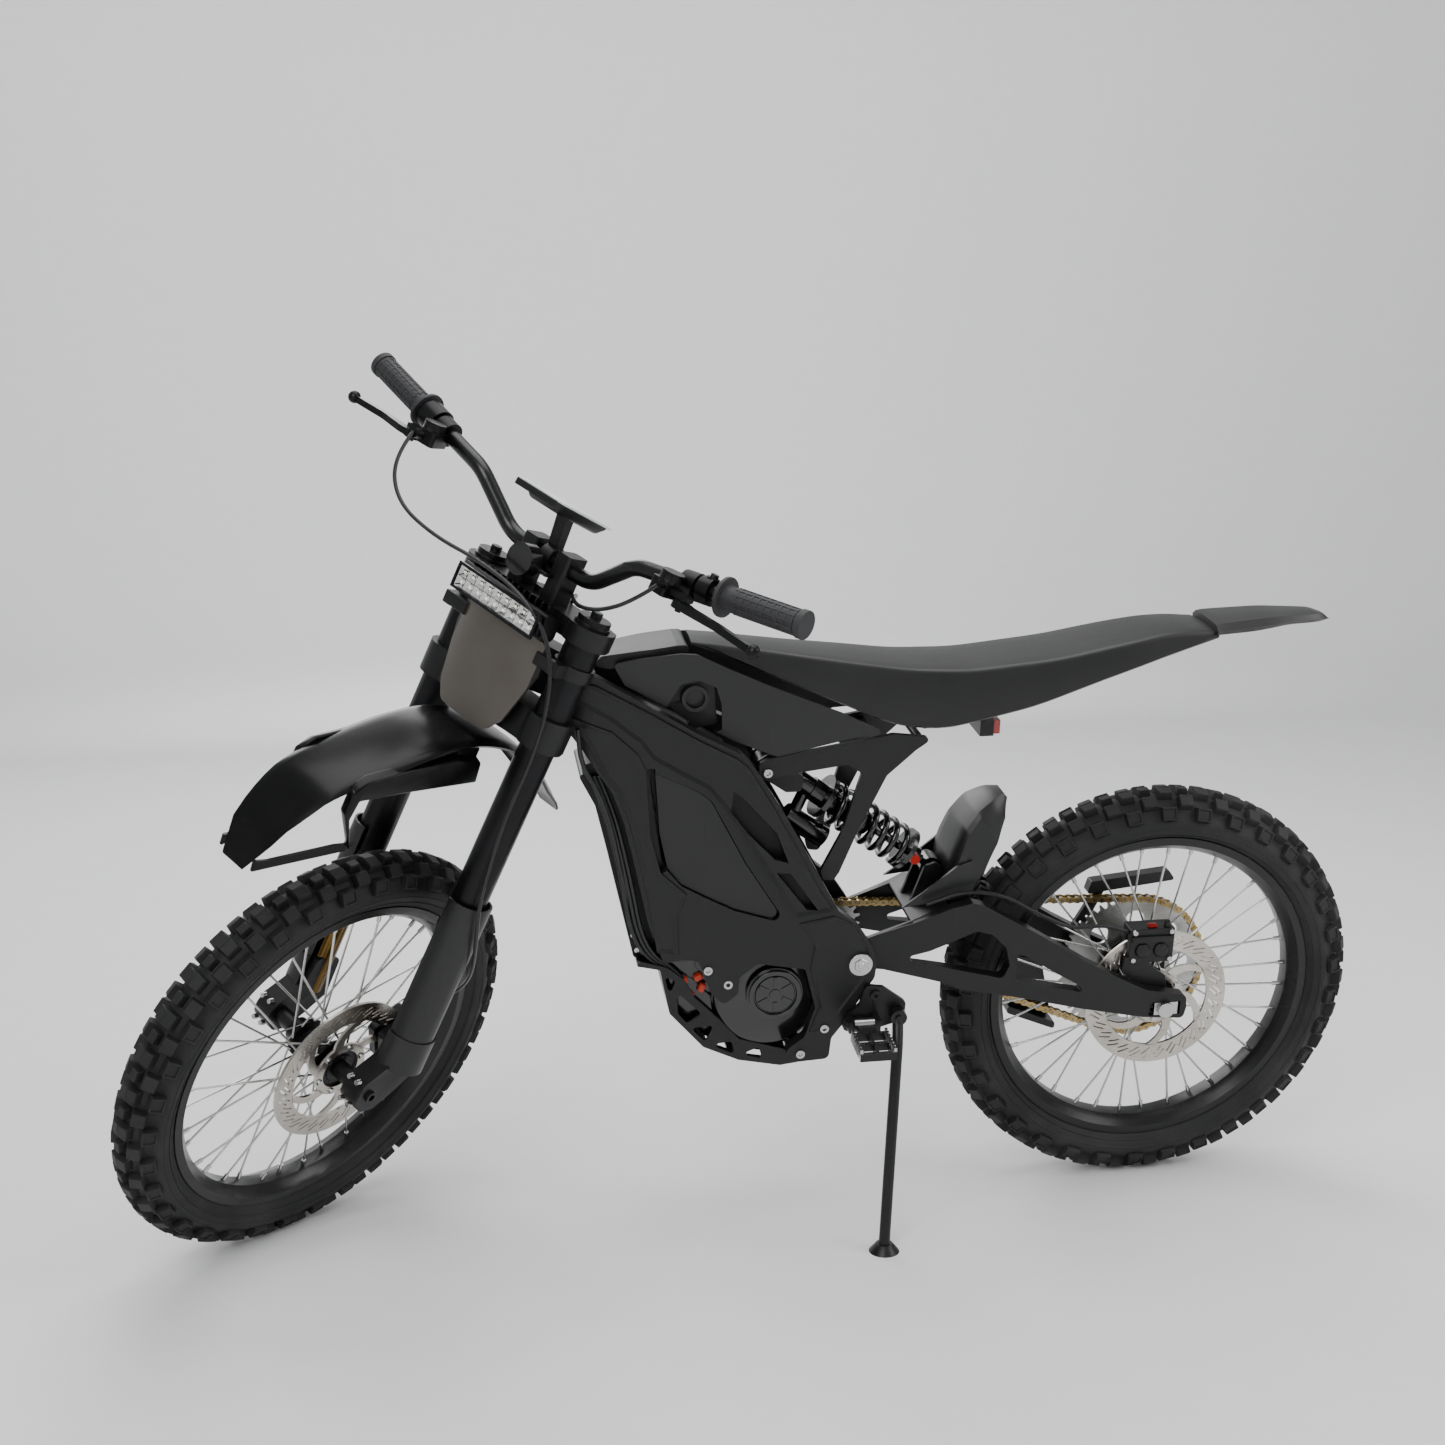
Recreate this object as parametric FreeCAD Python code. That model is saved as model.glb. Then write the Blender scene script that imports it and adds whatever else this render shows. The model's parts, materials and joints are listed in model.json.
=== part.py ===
"""Electric off-road motorcycle: cast twin-spar frame, upside-down fork, chain drive, resting on its side stand.

Every piece is drawn on the upright machine with the bars straight ahead: X forward, Y to the rider's left,
Z up, origin on the ground under the rear axle. The bars are then turned, and the machine leans on its stand.
The origin is the middle of the footprint box, on the ground. All lengths are millimetres.
"""
import FreeCAD, Part
import math
import os

V = FreeCAD.Vector
Rotation = FreeCAD.Rotation
Placement = FreeCAD.Placement
Y_AXIS = V(0, 1, 0)

# ---- driving dimensions -------------------------------------------------------------------------------
WHEELBASE = 1243.0
RAKE = 24.0                    # steering axis from the vertical, degrees
AXLE_LEAD = 53.0               # front axle ahead of the steering axis
STEER_REST = 42.0              # bars turned left at rest, degrees
LEAN = 8.0                     # machine leaning left on its stand, degrees

REAR_TYRE_R = 318.0
REAR_SECTION_R = 43.5
FRONT_TYRE_R = 319.0
FRONT_SECTION_R = 40.0
TYRE_WALL = 13.0
BEAD_R = 240.5                 # 19 inch bead seat
RIM_FLANGE_H = 8.0
RIM_DEPTH = 16.0
REAR_RIM_HALF = 26.0
FRONT_RIM_HALF = 23.0
SPOKE_R = 1.6
SPOKE_COUNT = 36
HUB_FLANGE_R = 30.0
HUB_FLANGE_Y = 27.0
HUB_BARREL_R = 19.0
REAR_HUB_HALF = 58.0
FRONT_HUB_HALF = 50.0

AXLE_R = 8.5
RUN_CLEARANCE = 0.05           # radial running clearance of every pivot and wheel bore
DISC_R = 110.0
DISC_T = 3.6
DISC_Y = 50.0
CARRIER_R = 52.0

CHAIN_PITCH = 12.7
REAR_TEETH = 56
DRIVE_TEETH = 14
CHAIN_Y = -55.0
SPROCKET_T = 5.0
CHAIN_INNER_W = 8.0
CHAIN_PLATE_T = 2.6
CHAIN_PLATE_H = 10.5

PIVOT_X, PIVOT_Z = 466.0, 424.0
PIVOT_R = 10.0
ARM_Y_IN, ARM_Y_OUT = 68.0, 88.0        # swingarm beams beside the wheel
ARM_NOSE_IN, ARM_NOSE_OUT = 63.0, 70.0  # swingarm nose between the frame plates
SIDE_GAP = 2.0                          # washer gap between nose and frame plate
PLATE_T = 19.0                          # pivot plate thickness

SHOCK_TOP = (555.0, 680.0)
SHOCK_LOW = (348.0, 532.0)
EYE_R = 14.0
SHOCK_BOLT_R = 5.0
SPRING_R = 27.0
SPRING_WIRE_R = 4.6
SPRING_TURNS = 7
SWING_TRAVEL = 20.0            # degrees of swingarm travel from rest
FORK_TRAVEL = 150.0
HOSE_R = 2.8
CABLE_R = 3.2

FORK_SPREAD = 100.0            # leg centre from the middle
FORK_LEG_D = 5.0               # leg centre ahead of the steering axis
OUTER_TUBE_R = 25.0
INNER_TUBE_R = 19.0
TUBE_WALL = 4.0
LOWER_CLAMP = (545.0, 590.0)   # heights along the steering axis, from the foot of the offset line
UPPER_CLAMP = (698.0, 724.0)
TUBE_FOOT, TUBE_TOP = 262.0, 728.0
STEM_R = 14.0
HEAD_R = 28.0
HEAD_BORE_R = 22.0
BEARING_GAP = 1.0

BAR_R = 11.1
BAR_BORE_R = 8.0
BAR_CENTRE = (773.0, 14.0)     # height and lead of the bar's middle
BAR_RISE = (832.0, 39.0)
BAR_END = (879.0, 27.0)
BAR_HALF_CENTRE, BAR_HALF_RISE, BAR_HALF_END = 78.0, 150.0, 403.0
GRIP_INNER_Y = 285.0
GRIP_R = 16.0
LEVER_PIVOT = (829.0, 72.0, 258.0)      # height, lead, side
THROTTLE_TURN, LEVER_TURN = 70.0, 16.0
BUTTON_TRAVEL = 2.0

PEG_HINGE = (462.0, 112.0, 338.0)
STAND_PIVOT = (412.0, 108.0, 346.0)
STAND_FOOT = (446.0, 224.0)
STAND_ROD_R = 8.0
STAND_FOLD, PEG_FOLD = 100.0, 45.0


# ---- drawing helpers ----------------------------------------------------------------------------------
def rounded_wire(points, radius, place):
    """Closed outline through flat points, each corner rounded as far as its two edges allow."""
    flat = [V(p[0], p[1], 0) for p in points]
    count = len(flat)
    corners = []
    for i in range(count):
        to_last = flat[i - 1] - flat[i]
        to_next = flat[(i + 1) % count] - flat[i]
        room = 0.45 * min(to_last.Length, to_next.Length)
        half = to_last.getAngle(to_next) / 2.0
        wanted = radius / max(math.tan(half), 1e-6)
        run = min(wanted, room)
        to_last.normalize()
        to_next.normalize()
        start = flat[i] + to_last * run
        end = flat[i] + to_next * run
        inward = to_last + to_next
        if run < 0.05 or inward.Length < 0.02:
            corners.append((flat[i], None, flat[i]))
            continue
        arc_r = run * math.tan(half)
        inward.normalize()
        middle = flat[i] + inward * (arc_r / math.sin(half) - arc_r)
        corners.append((start, middle, end))
    edges = []
    for i in range(count):
        start, middle, end = corners[i]
        if middle is not None:
            edges.append(Part.Arc(place(start.x, start.y), place(middle.x, middle.y), place(end.x, end.y)).toShape())
        nxt = corners[(i + 1) % count][0]
        if (nxt - end).Length > 0.01:
            edges.append(Part.makeLine(place(end.x, end.y), place(nxt.x, nxt.y)))
    return Part.Wire(Part.__sortEdges__(edges))


def side_plate(points, y_from, y_to, radius=3.0, holes=()):
    """Plate with an (x, z) outline, standing between two Y values."""
    def place(x, z):
        return V(x, y_from, z)
    solid = Part.Face(rounded_wire(points, radius, place)).extrude(V(0, y_to - y_from, 0))
    for hole in holes:
        solid = solid.cut(Part.Face(rounded_wire(hole, radius, place)).extrude(V(0, y_to - y_from, 0)))
    return solid


def plan_prism(points, z_from, z_to):
    """Upright prism with an (x, y) outline."""
    def place(x, y):
        return V(x, y, z_from)
    return Part.Face(rounded_wire(points, 0.0, place)).extrude(V(0, 0, z_to - z_from))


def rod(start, end, radius, bore=0.0):
    """Round bar or tube from one point to another."""
    along = end - start
    solid = Part.makeCylinder(radius, along.Length, start, along)
    if bore > 0:
        solid = solid.cut(Part.makeCylinder(bore, along.Length, start, along))
    return solid


def cross_rod(x, z, y_from, y_to, radius, bore=0.0):
    """Round bar or tube lying across the machine."""
    return rod(V(x, y_from, z), V(x, y_to, z), radius, bore)


def box_at(x, y, z):
    """Block between pairs of X, Y and Z values."""
    return Part.makeBox(x[1] - x[0], y[1] - y[0], z[1] - z[0], V(x[0], y[0], z[0]))


def turned(points, centre):
    """Solid of revolution about the cross axis, from a closed (radius, y) outline."""
    wire = Part.makePolygon([V(r, y, 0) for r, y in points] + [V(points[0][0], points[0][1], 0)])
    solid = Part.Face(wire).revolve(V(0, 0, 0), Y_AXIS, 360)
    solid.translate(centre)
    return solid


def mirrored(shape):
    """The same shape on the other side of the machine."""
    return shape.mirror(V(0, 0, 0), Y_AXIS)


def both_sides(shape):
    """A shape and its mirror image."""
    return [shape, mirrored(shape)]


def tube_path(points, bend=None):
    """Straight runs joined by tangent arcs; a given bend radius, or as large as the runs allow."""
    edges = []
    radii = []
    at = points[0]
    for i in range(1, len(points) - 1):
        back = points[i - 1] - points[i]
        ahead = points[i + 1] - points[i]
        half = back.getAngle(ahead) / 2.0
        run = 0.45 * min(back.Length, ahead.Length)
        if bend is not None:
            run = min(run, bend / math.tan(half))
        arc_r = run * math.tan(half)
        radii.append(arc_r)
        back.normalize()
        ahead.normalize()
        inward = back + ahead
        inward.normalize()
        start = points[i] + back * run
        end = points[i] + ahead * run
        middle = points[i] + inward * (arc_r / math.sin(half) - arc_r)
        edges.append(Part.LineSegment(at, start).toShape())
        edges.append(Part.Arc(start, middle, end).toShape())
        at = end
    edges.append(Part.LineSegment(at, points[-1]).toShape())
    return Part.Wire(edges), radii


def tube_along(points, radius, bore=0.0, bend=None):
    """Round tube along a route of points."""
    path, radii = tube_path(points, bend)
    first = points[1] - points[0]
    section = Part.Wire(Part.makeCircle(radius, points[0], first))
    solid = path.makePipeShell([section], True, False)
    if bore > 0:
        inner = Part.Wire(Part.makeCircle(bore, points[0], first))
        solid = solid.cut(path.makePipeShell([inner], True, False))
    return solid, radii


def button_bolt(x, z, y, radius=7.0, depth=24.0, out=1.0):
    """Button-head bolt across the machine, its head standing out from the face at y."""
    head = cross_rod(x, z, y, y + out * radius * 0.62, radius)
    shank = cross_rod(x, z, y, y - out * depth, radius * 0.55)
    socket = cross_rod(x, z, y + out * radius * 0.2, y + out * radius, radius * 0.45)
    return head.fuse(shank).cut(socket)


# ---- steering geometry --------------------------------------------------------------------------------
STEER_DIR = V(-math.sin(math.radians(RAKE)), 0, math.cos(math.radians(RAKE)))
LEAD_DIR = V(math.cos(math.radians(RAKE)), 0, math.sin(math.radians(RAKE)))
FRONT_AXLE = V(WHEELBASE, 0, FRONT_TYRE_R)
REAR_AXLE = V(0, 0, REAR_TYRE_R)
STEER_FOOT = FRONT_AXLE - LEAD_DIR * AXLE_LEAD


def fork_point(height, lead, side=0.0):
    """Point at a height along the steering axis, ahead of it and to the left."""
    return STEER_FOOT + STEER_DIR * height + LEAD_DIR * lead + Y_AXIS * side


def steer_plate(points, y_from, y_to, radius=3.0, holes=()):
    """Plate with a (lead, height) outline beside the steering axis, between two Y values."""
    def place(lead, height):
        return fork_point(height, lead, y_from)
    solid = Part.Face(rounded_wire(points, radius, place)).extrude(V(0, y_to - y_from, 0))
    for hole in holes:
        solid = solid.cut(Part.Face(rounded_wire(hole, radius, place)).extrude(V(0, y_to - y_from, 0)))
    return solid


def steer_slab(points, low, high, radius=4.0):
    """Slab square to the steering axis with a (side, lead) outline, between two heights."""
    def place(side, lead):
        return fork_point(low, lead, side)
    return Part.Face(rounded_wire(points, radius, place)).extrude(STEER_DIR * (high - low))


def leg_rod(side, low, high, radius, bore=0.0):
    """Round bar or tube on a fork leg's centre line."""
    return rod(fork_point(low, FORK_LEG_D, side), fork_point(high, FORK_LEG_D, side), radius, bore)


# ---- frame --------------------------------------------------------------------------------------------
PLATE_IN = ARM_NOSE_OUT + SIDE_GAP
PLATE_OUT = PLATE_IN + PLATE_T
FRAME_PLAN_OUT = [(400, PLATE_OUT), (585, PLATE_OUT), (690, 84), (840, 56), (890, 42)]
FRAME_PLAN_IN = [(890, 26), (840, 36), (690, 62), (585, PLATE_IN), (400, PLATE_IN)]
SPAR_OUTLINE = [(852, 864), (816, 843), (764, 814), (705, 780), (642, 748), (626, 731), (590, 674), (554, 610),
                (522, 549), (500, 508), (472, 484), (450, 451), (441, 424), (444, 400), (458, 378), (486, 331),
                (504, 307), (507, 274), (563, 271), (570, 291), (543, 312), (529, 358), (545, 420), (613, 432),
                (640, 410), (640, 386), (661, 368), (680, 389), (697, 438), (720, 440), (745, 432), (767, 493),
                (776, 537), (788, 594), (800, 646), (815, 689), (835, 718), (855, 751), (884, 790)]
BATTERY_WINDOW = [(758, 720), (764, 716), (758, 662), (746, 582), (722, 553), (648, 515), (573, 492), (631, 584),
                  (681, 680), (699, 694)]
SPAR_POCKETS = ([(629, 650), (611, 648), (570, 578), (595, 583)], [(576, 562), (556, 559), (526, 504), (543, 510)])
POCKET_DEPTH = 5.0
COVER_GAP = 1.5


def inset(points, gap):
    """The same outline moved in by a gap on every side."""
    count = len(points)
    area = sum(points[i][0] * points[(i + 1) % count][1] - points[(i + 1) % count][0] * points[i][1]
               for i in range(count))
    turn = 1.0 if area > 0 else -1.0
    moved = []
    for i in range(count):
        here = V(points[i][0], points[i][1], 0)
        before = here - V(points[i - 1][0], points[i - 1][1], 0)
        after = V(points[(i + 1) % count][0], points[(i + 1) % count][1], 0) - here
        before.normalize()
        after.normalize()
        normal_a = V(-before.y, before.x, 0) * turn
        normal_b = V(-after.y, after.x, 0) * turn
        step = (normal_a + normal_b) * (gap / (1.0 + normal_a.dot(normal_b)))
        moved.append((here.x + step.x, here.y + step.y))
    return moved


def frame_shell():
    """Left half of the cast frame: spar, down member and pivot plate in one piece."""
    plan = plan_prism(FRAME_PLAN_OUT + FRAME_PLAN_IN, 200, 950)
    shell = side_plate(SPAR_OUTLINE, 20, 110, 9.0, [BATTERY_WINDOW]).common(plan)
    floor = plan_prism([(x, y - POCKET_DEPTH) for x, y in FRAME_PLAN_OUT] + [(890, 130), (400, 130)], 200, 950)
    for pocket in SPAR_POCKETS:
        shell = shell.cut(side_plate(pocket, 20, 130, 3.0).common(floor))
    shell = shell.cut(cross_rod(PIVOT_X, PIVOT_Z, 20, 130, PIVOT_R))
    return shell


def battery_cover():
    """Left panel over the battery, standing in the frame's window."""
    plan = plan_prism([(x, y - 4) for x, y in FRAME_PLAN_OUT] + [(x, y + 6) for x, y in FRAME_PLAN_IN], 200, 950)
    return side_plate(inset(BATTERY_WINDOW, COVER_GAP), 20, 110, 9.0).common(plan)


def frame_core():
    """Head tube with its casting, and the tubes that hold the two shells apart."""
    head_low, head_high = LOWER_CLAMP[1] + BEARING_GAP, UPPER_CLAMP[0] - BEARING_GAP
    head = rod(fork_point(head_low, 0), fork_point(head_high, 0), HEAD_R)
    casting = side_plate([(957, 845), (934, 880), (905, 896), (868, 874), (838, 852), (836, 800), (868, 806)],
                         -25, 25, 8.0)
    head = head.fuse(casting)
    head = head.cut(rod(fork_point(head_low - 9, 0), fork_point(head_high + 9, 0), STEM_R + RUN_CLEARANCE))
    lugs = side_plate([(868, 868), (838, 848), (838, 804), (868, 810)], -29, 29, 6.0)
    head = head.fuse(lugs)
    lower_tube = cross_rod(549, 287, -PLATE_IN, PLATE_IN, 9.0)
    upper_tube = cross_rod(598, 704, -SUBFRAME_IN + 0.5, SUBFRAME_IN - 0.5, 11.0)
    ear = side_plate([(610, 712), (592, 722), (SHOCK_TOP[0] - 14, SHOCK_TOP[1] + 6), (SHOCK_TOP[0] - 10, 664),
                      (SHOCK_TOP[0] + 12, 664), (610, 694)], 18, 24, 7.0)
    mount = upper_tube.fuse([ear, mirrored(ear)])
    bolt = cross_rod(SHOCK_TOP[0], SHOCK_TOP[1], -24, 24, SHOCK_BOLT_R)
    return [head, lower_tube, mount.fuse(bolt)]


def frame_bolts():
    """Pivot axle with its caps, and the bolts seen on the frame's sides."""
    axle = cross_rod(PIVOT_X, PIVOT_Z, -PLATE_OUT, PLATE_OUT, PIVOT_R)
    caps = [cross_rod(PIVOT_X, PIVOT_Z, s * PLATE_OUT, s * (PLATE_OUT + 6), 17.0) for s in (1, -1)]
    solids = [axle.fuse(caps)]
    for x, z in ((549, 285), (515, 324), (684, 424), (655, 400)):
        pair = button_bolt(x, z, PLATE_OUT if x < 600 else 84, 6.5, 3.0)
        solids += both_sides(pair)
    solids += both_sides(button_bolt(600, 708, SUBFRAME_IN + SUBFRAME_T, 6.5, 18.0))
    return solids


def battery():
    """Battery pack between the spars, with the charge socket and its bracket above it."""
    outline = [(745, 600), (765, 722), (812, 790), (800, 812), (756, 790), (700, 758), (650, 726), (618, 670),
               (608, 590), (588, 520), (640, 522), (722, 560)]
    pack = side_plate(outline, -40, 40, 10.0)
    bracket = side_plate([(741, 806), (725, 838), (694, 845), (672, 835), (668, 775), (690, 770), (714, 784)],
                         28, 34, 5.0)
    bracket = bracket.fuse(cross_rod(700, 775, 0, 34, 8.0))
    socket = cross_rod(700, 815, 34, 46, 19.0, 13.0)
    return [pack, bracket.fuse(socket.fuse(cross_rod(700, 815, 34, 38, 13.0)))]


def controller():
    """Finned motor controller in front of the down members."""
    body = side_plate([(757, 440), (785, 432), (800, 500), (822, 600), (838, 668), (862, 716), (842, 712), (822, 680),
                       (806, 640), (794, 590), (782, 535), (772, 490)], -50, 50, 5.0)
    for k in range(5):
        x, z = 789 + 10 * k, 470 + 46 * k
        body = body.cut(side_plate([(x + 2, z), (x + 40, z + 4), (x + 40, z + 12), (x + 4, z + 8)], -44, 44, 1.0))
    return [body]


def motor():
    """Motor with its round cap, and the reduction gear case on the right."""
    centre = (592, 374)
    body = cross_rod(centre[0], centre[1], -58, 58, 70.0)
    cap = cross_rod(centre[0] - 5, centre[1] + 6, 58, 84, 41.0)
    ring = cross_rod(centre[0] - 5, centre[1] + 6, 84, 89, 38.0, 31.0)
    lugs = [side_plate([(655, 372), (668, 420), (692, 436), (700, 420), (668, 368)], 40, 58, 6.0)]
    lugs.append(mirrored(lugs[0]))
    body = body.fuse([cap, ring] + lugs)
    case = side_plate([(592, 440), (540, 444), (500, 452), (510, 400), (545, 330), (592, 308), (640, 330), (652, 372),
                       (636, 418)], -66, -59, 16.0)
    return [body, case]


def skid_plate():
    """Bent guard under the motor: a floor and two side lattices."""
    outline = [(783, 429), (750, 421), (736, 351), (687, 294), (635, 269), (574, 256), (548, 259), (552, 276),
               (575, 284), (635, 303), (664, 337), (700, 374), (716, 404), (740, 424), (780, 437)]
    wall = 4.0
    holes = [[(600, 268), (632, 278), (606, 288)], [(640, 278), (678, 297), (646, 300)],
             [(684, 302), (706, 326), (672, 328)], [(711, 334), (724, 350), (726, 385), (690, 348)],
             [(736, 380), (744, 412), (728, 402)]]
    side = side_plate(outline, PLATE_IN - 2 - wall, PLATE_IN - 2, 4.0, holes)
    floor_line = [(783, 429), (750, 421), (736, 351), (687, 294), (635, 269), (574, 256), (548, 259), (549, 263),
                  (574, 260), (634, 273), (684, 297), (732, 353), (746, 424), (781, 433)]
    floor = side_plate(floor_line, -PLATE_IN + 2, PLATE_IN - 2, 3.0)
    for y in (-42, 0, 42):
        floor = floor.cut(box_at((590, 630), (y - 12, y + 12), (250, 280)))
        floor = floor.cut(box_at((650, 680), (y - 12, y + 12), (265, 300)))
    return [floor.fuse([side, mirrored(side)])]


SUBFRAME_IN, SUBFRAME_T = 50.0, 8.0
SUBFRAME_OUTLINE = [(612, 722), (600, 728), (424, 757), (365, 750), (391, 732), (431, 696), (450, 655), (469, 615),
                    (494, 552), (502, 540), (518, 542), (521, 556), (491, 616), (467, 701), (487, 715), (584, 702),
                    (600, 698), (612, 706)]


def subframe():
    """Two triangulated plates and the cross tubes that carry the seat."""
    plate = side_plate(SUBFRAME_OUTLINE, SUBFRAME_IN, SUBFRAME_IN + SUBFRAME_T, 6.0)
    plate = plate.cut(cross_rod(600, 708, SUBFRAME_IN - 10, SUBFRAME_IN + 20, 4.0))
    ties = [cross_rod(x, z, -SUBFRAME_IN, SUBFRAME_IN, r) for x, z, r in ((445, 738, 7.0), (385, 746, 6.0))]
    return [plate.fuse([mirrored(plate)] + ties)]


# ---- seat and bodywork --------------------------------------------------------------------------------
def seat():
    """Slim padded seat over the subframe."""
    outline = [(705, 893), (660, 889), (560, 872), (405, 850), (319, 847), (189, 860), (116, 874), (29, 889),
               (-42, 888), (-46, 872), (47, 850), (120, 828), (227, 792), (334, 768), (362, 764), (424, 770),
               (490, 799), (575, 834), (660, 872)]
    plan = plan_prism([(705, 30), (600, 44), (480, 62), (360, 74), (220, 74), (80, 66), (-46, 46), (-46, -46),
                       (80, -66), (220, -74), (360, -74), (480, -62), (600, -44), (705, -30)], 700, 950)
    return [side_plate(outline, -80, 80, 12.0).common(plan)]


def tank_cover():
    """Cover between the seat's nose and the headstock."""
    outline = [(838, 862), (826, 876), (774, 884), (724, 890), (710, 890), (708, 880), (772, 868), (815, 858)]
    plan = plan_prism([(700, 38), (760, 40), (840, 30), (840, -30), (760, -40), (700, -38)], 700, 950)
    return [side_plate(outline, -60, 60, 5.0).common(plan)]


PANEL_OUTLINE = [(812, 868), (774, 876), (722, 883), (700, 882), (684, 874), (657, 861), (591, 832), (500, 794),
                 (431, 760), (483, 757), (588, 734), (606, 741), (646, 757), (745, 810), (796, 838)]
PANEL_HOLE = [(741, 806), (721, 840), (694, 845), (673, 835), (666, 810), (665, 772), (679, 772), (714, 786)]
PANEL_T = 4.0


def side_panels():
    """Left and right panels under the seat and tank cover, with the D-shaped port opening."""
    plan = plan_prism([(400, 66), (600, 66), (700, 58), (830, 42), (830, 42 - PANEL_T), (700, 58 - PANEL_T),
                       (600, 66 - PANEL_T), (400, 66 - PANEL_T)], 700, 950)
    panel = side_plate(PANEL_OUTLINE, 30, 75, 5.0, [PANEL_HOLE]).common(plan)
    return both_sides(panel)


def tail_fender():
    """Thin tail behind the seat."""
    outline = [(-50, 880), (-46, 896), (-129, 901), (-207, 902), (-219, 895), (-214, 888), (-150, 888), (-100, 880)]
    plan = plan_prism([(-40, 50), (-130, 40), (-222, 20), (-222, -20), (-130, -40), (-40, -50)], 700, 950)
    return [side_plate(outline, -60, 60, 3.0).common(plan)]


def tail_light():
    """Small tail light on a stalk below the seat, with its lens."""
    stalk = side_plate([(372, 744), (364, 754), (292, 766), (272, 762), (276, 752), (292, 754)], -8, 8, 3.0)
    body = box_at((272, 292), (-30, 30), (738, 762))
    lens = box_at((262, 272), (-27, 27), (740, 760))
    return [stalk.fuse(body), lens]


# ---- footrests and stand ------------------------------------------------------------------------------
PEG_PLATE_T = 7.0


def peg_brackets():
    """Left and right brackets bolted to the pivot plates; the left one carries the stand's pivot."""
    outline = [(458, 392), (432, 388), (398, 362), (400, 334), (440, 322), (470, 318), (490, 322), (488, 342),
               (466, 362)]
    plate_out = PLATE_OUT + 0.5 + PEG_PLATE_T
    plate = side_plate(outline, PLATE_OUT + 0.5, plate_out, 8.0)
    x, y, z = PEG_HINGE
    ears = [box_at((x + k * 19 - 4, x + k * 19 + 4), (plate_out - 1, y + 8), (z - 10, z + 9)) for k in (-1, 1)]
    pin = rod(V(x - 26, y, z), V(x + 26, y, z), 4.0)
    side = plate.fuse(ears + [pin])
    left = side.fuse(cross_rod(STAND_PIVOT[0], STAND_PIVOT[2], PLATE_OUT + 2, STAND_PIVOT[1] + 12, 5.0))
    bolts = [button_bolt(px, pz, plate_out, 7.0, PEG_PLATE_T) for px, pz in ((444, 377), (474, 331))]
    left = left.fuse(bolts)
    right = mirrored(side.fuse(bolts))
    return [left, right]


def footpeg(side):
    """Toothed footpeg on its fore-and-aft hinge pin."""
    x, y, z = PEG_HINGE
    root = rod(V(x - 14.5, y, z), V(x + 14.5, y, z), 9.0, 4.0 + RUN_CLEARANCE)
    arm = box_at((x - 12, x + 12), (y + 6, y + 34), (z - 7, z + 4))
    arm = arm.cut(rod(V(x - 15, y, z), V(x + 15, y, z), 4.0 + RUN_CLEARANCE))
    y_in, y_out = y + 30, y + 92
    deck = box_at((x - 26, x + 26), (y_in, y_out), (z - 8, z + 4))
    for k in range(2):
        for j in range(2):
            deck = deck.cut(box_at((x - 20 + 22 * k, x - 2 + 22 * k), (y_in + 6 + 28 * j, y_in + 28 + 28 * j),
                                   (z - 20, z + 20)))
    teeth = []
    for j in range(7):
        for tx in (x - 26, x + 22):
            teeth.append(box_at((tx, tx + 4), (y_in + 2 + 9 * j, y_in + 7 + 9 * j), (z + 3, z + 10)))
    peg = root.fuse([arm, deck] + teeth)
    return [peg if side > 0 else mirrored(peg)]


def ground_height(x, y):
    """Height of the ground under a point of the upright machine, once it leans on its stand."""
    normal = ground_normal()
    offset = contact_offset(normal, REAR_AXLE, Y_AXIS, REAR_TYRE_R, REAR_SECTION_R)
    return (offset - normal.x * x - normal.y * y) / normal.z


def side_stand():
    """Stand rod with its pivot fork and flared foot, on the ground."""
    x, y, z = STAND_PIVOT
    hub = cross_rod(x, z, y - 3, y + 9, 12.0, 5.0 + RUN_CLEARANCE)
    foot_x, foot_y = STAND_FOOT
    foot_low = V(foot_x, foot_y, ground_height(foot_x, foot_y))
    normal = ground_normal()
    pad = Part.makeCone(22.0, 12.0, 12.0, foot_low, normal)
    knee = V(x + 4, y + 22, z - 34)
    leg = rod(V(x, y + 3, z - 8), knee, STAND_ROD_R).fuse(rod(knee, foot_low + normal * 10, STAND_ROD_R))
    leg = leg.fuse(Part.makeSphere(STAND_ROD_R, knee))
    leg = leg.cut(cross_rod(x, z, y - 3, y + 12, 5.0 + RUN_CLEARANCE))
    return [hub.fuse([leg, pad])]


# ---- swingarm and what it carries ---------------------------------------------------------------------
ARM_OUTLINE = [(484, 432), (474, 446), (455, 451), (386, 475), (331, 499), (303, 505), (286, 501), (215, 459),
               (124, 401), (73, 372), (30, 350), (-32, 337), (-34, 318), (-30, 300), (34, 306), (127, 326),
               (237, 354), (315, 369), (341, 381), (427, 402), (470, 405), (486, 416)]
ARM_OPENINGS = ([(361, 431), (331, 445), (295, 461), (272, 455), (250, 433), (243, 405), (252, 384), (343, 406),
                 (405, 418)],
                [(232, 421), (222, 419), (170, 386), (135, 365), (128, 353), (232, 377)])
ARM_PLAN_OUT = [(490, ARM_NOSE_OUT), (436, ARM_NOSE_OUT), (330, 84), (250, ARM_Y_OUT), (-40, ARM_Y_OUT)]
ARM_PLAN_IN = [(-40, ARM_Y_IN), (250, ARM_Y_IN), (330, ARM_Y_IN - 2), (436, ARM_NOSE_IN), (490, ARM_NOSE_IN)]
AXLE_SLOT_HALF = 22.0


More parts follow.
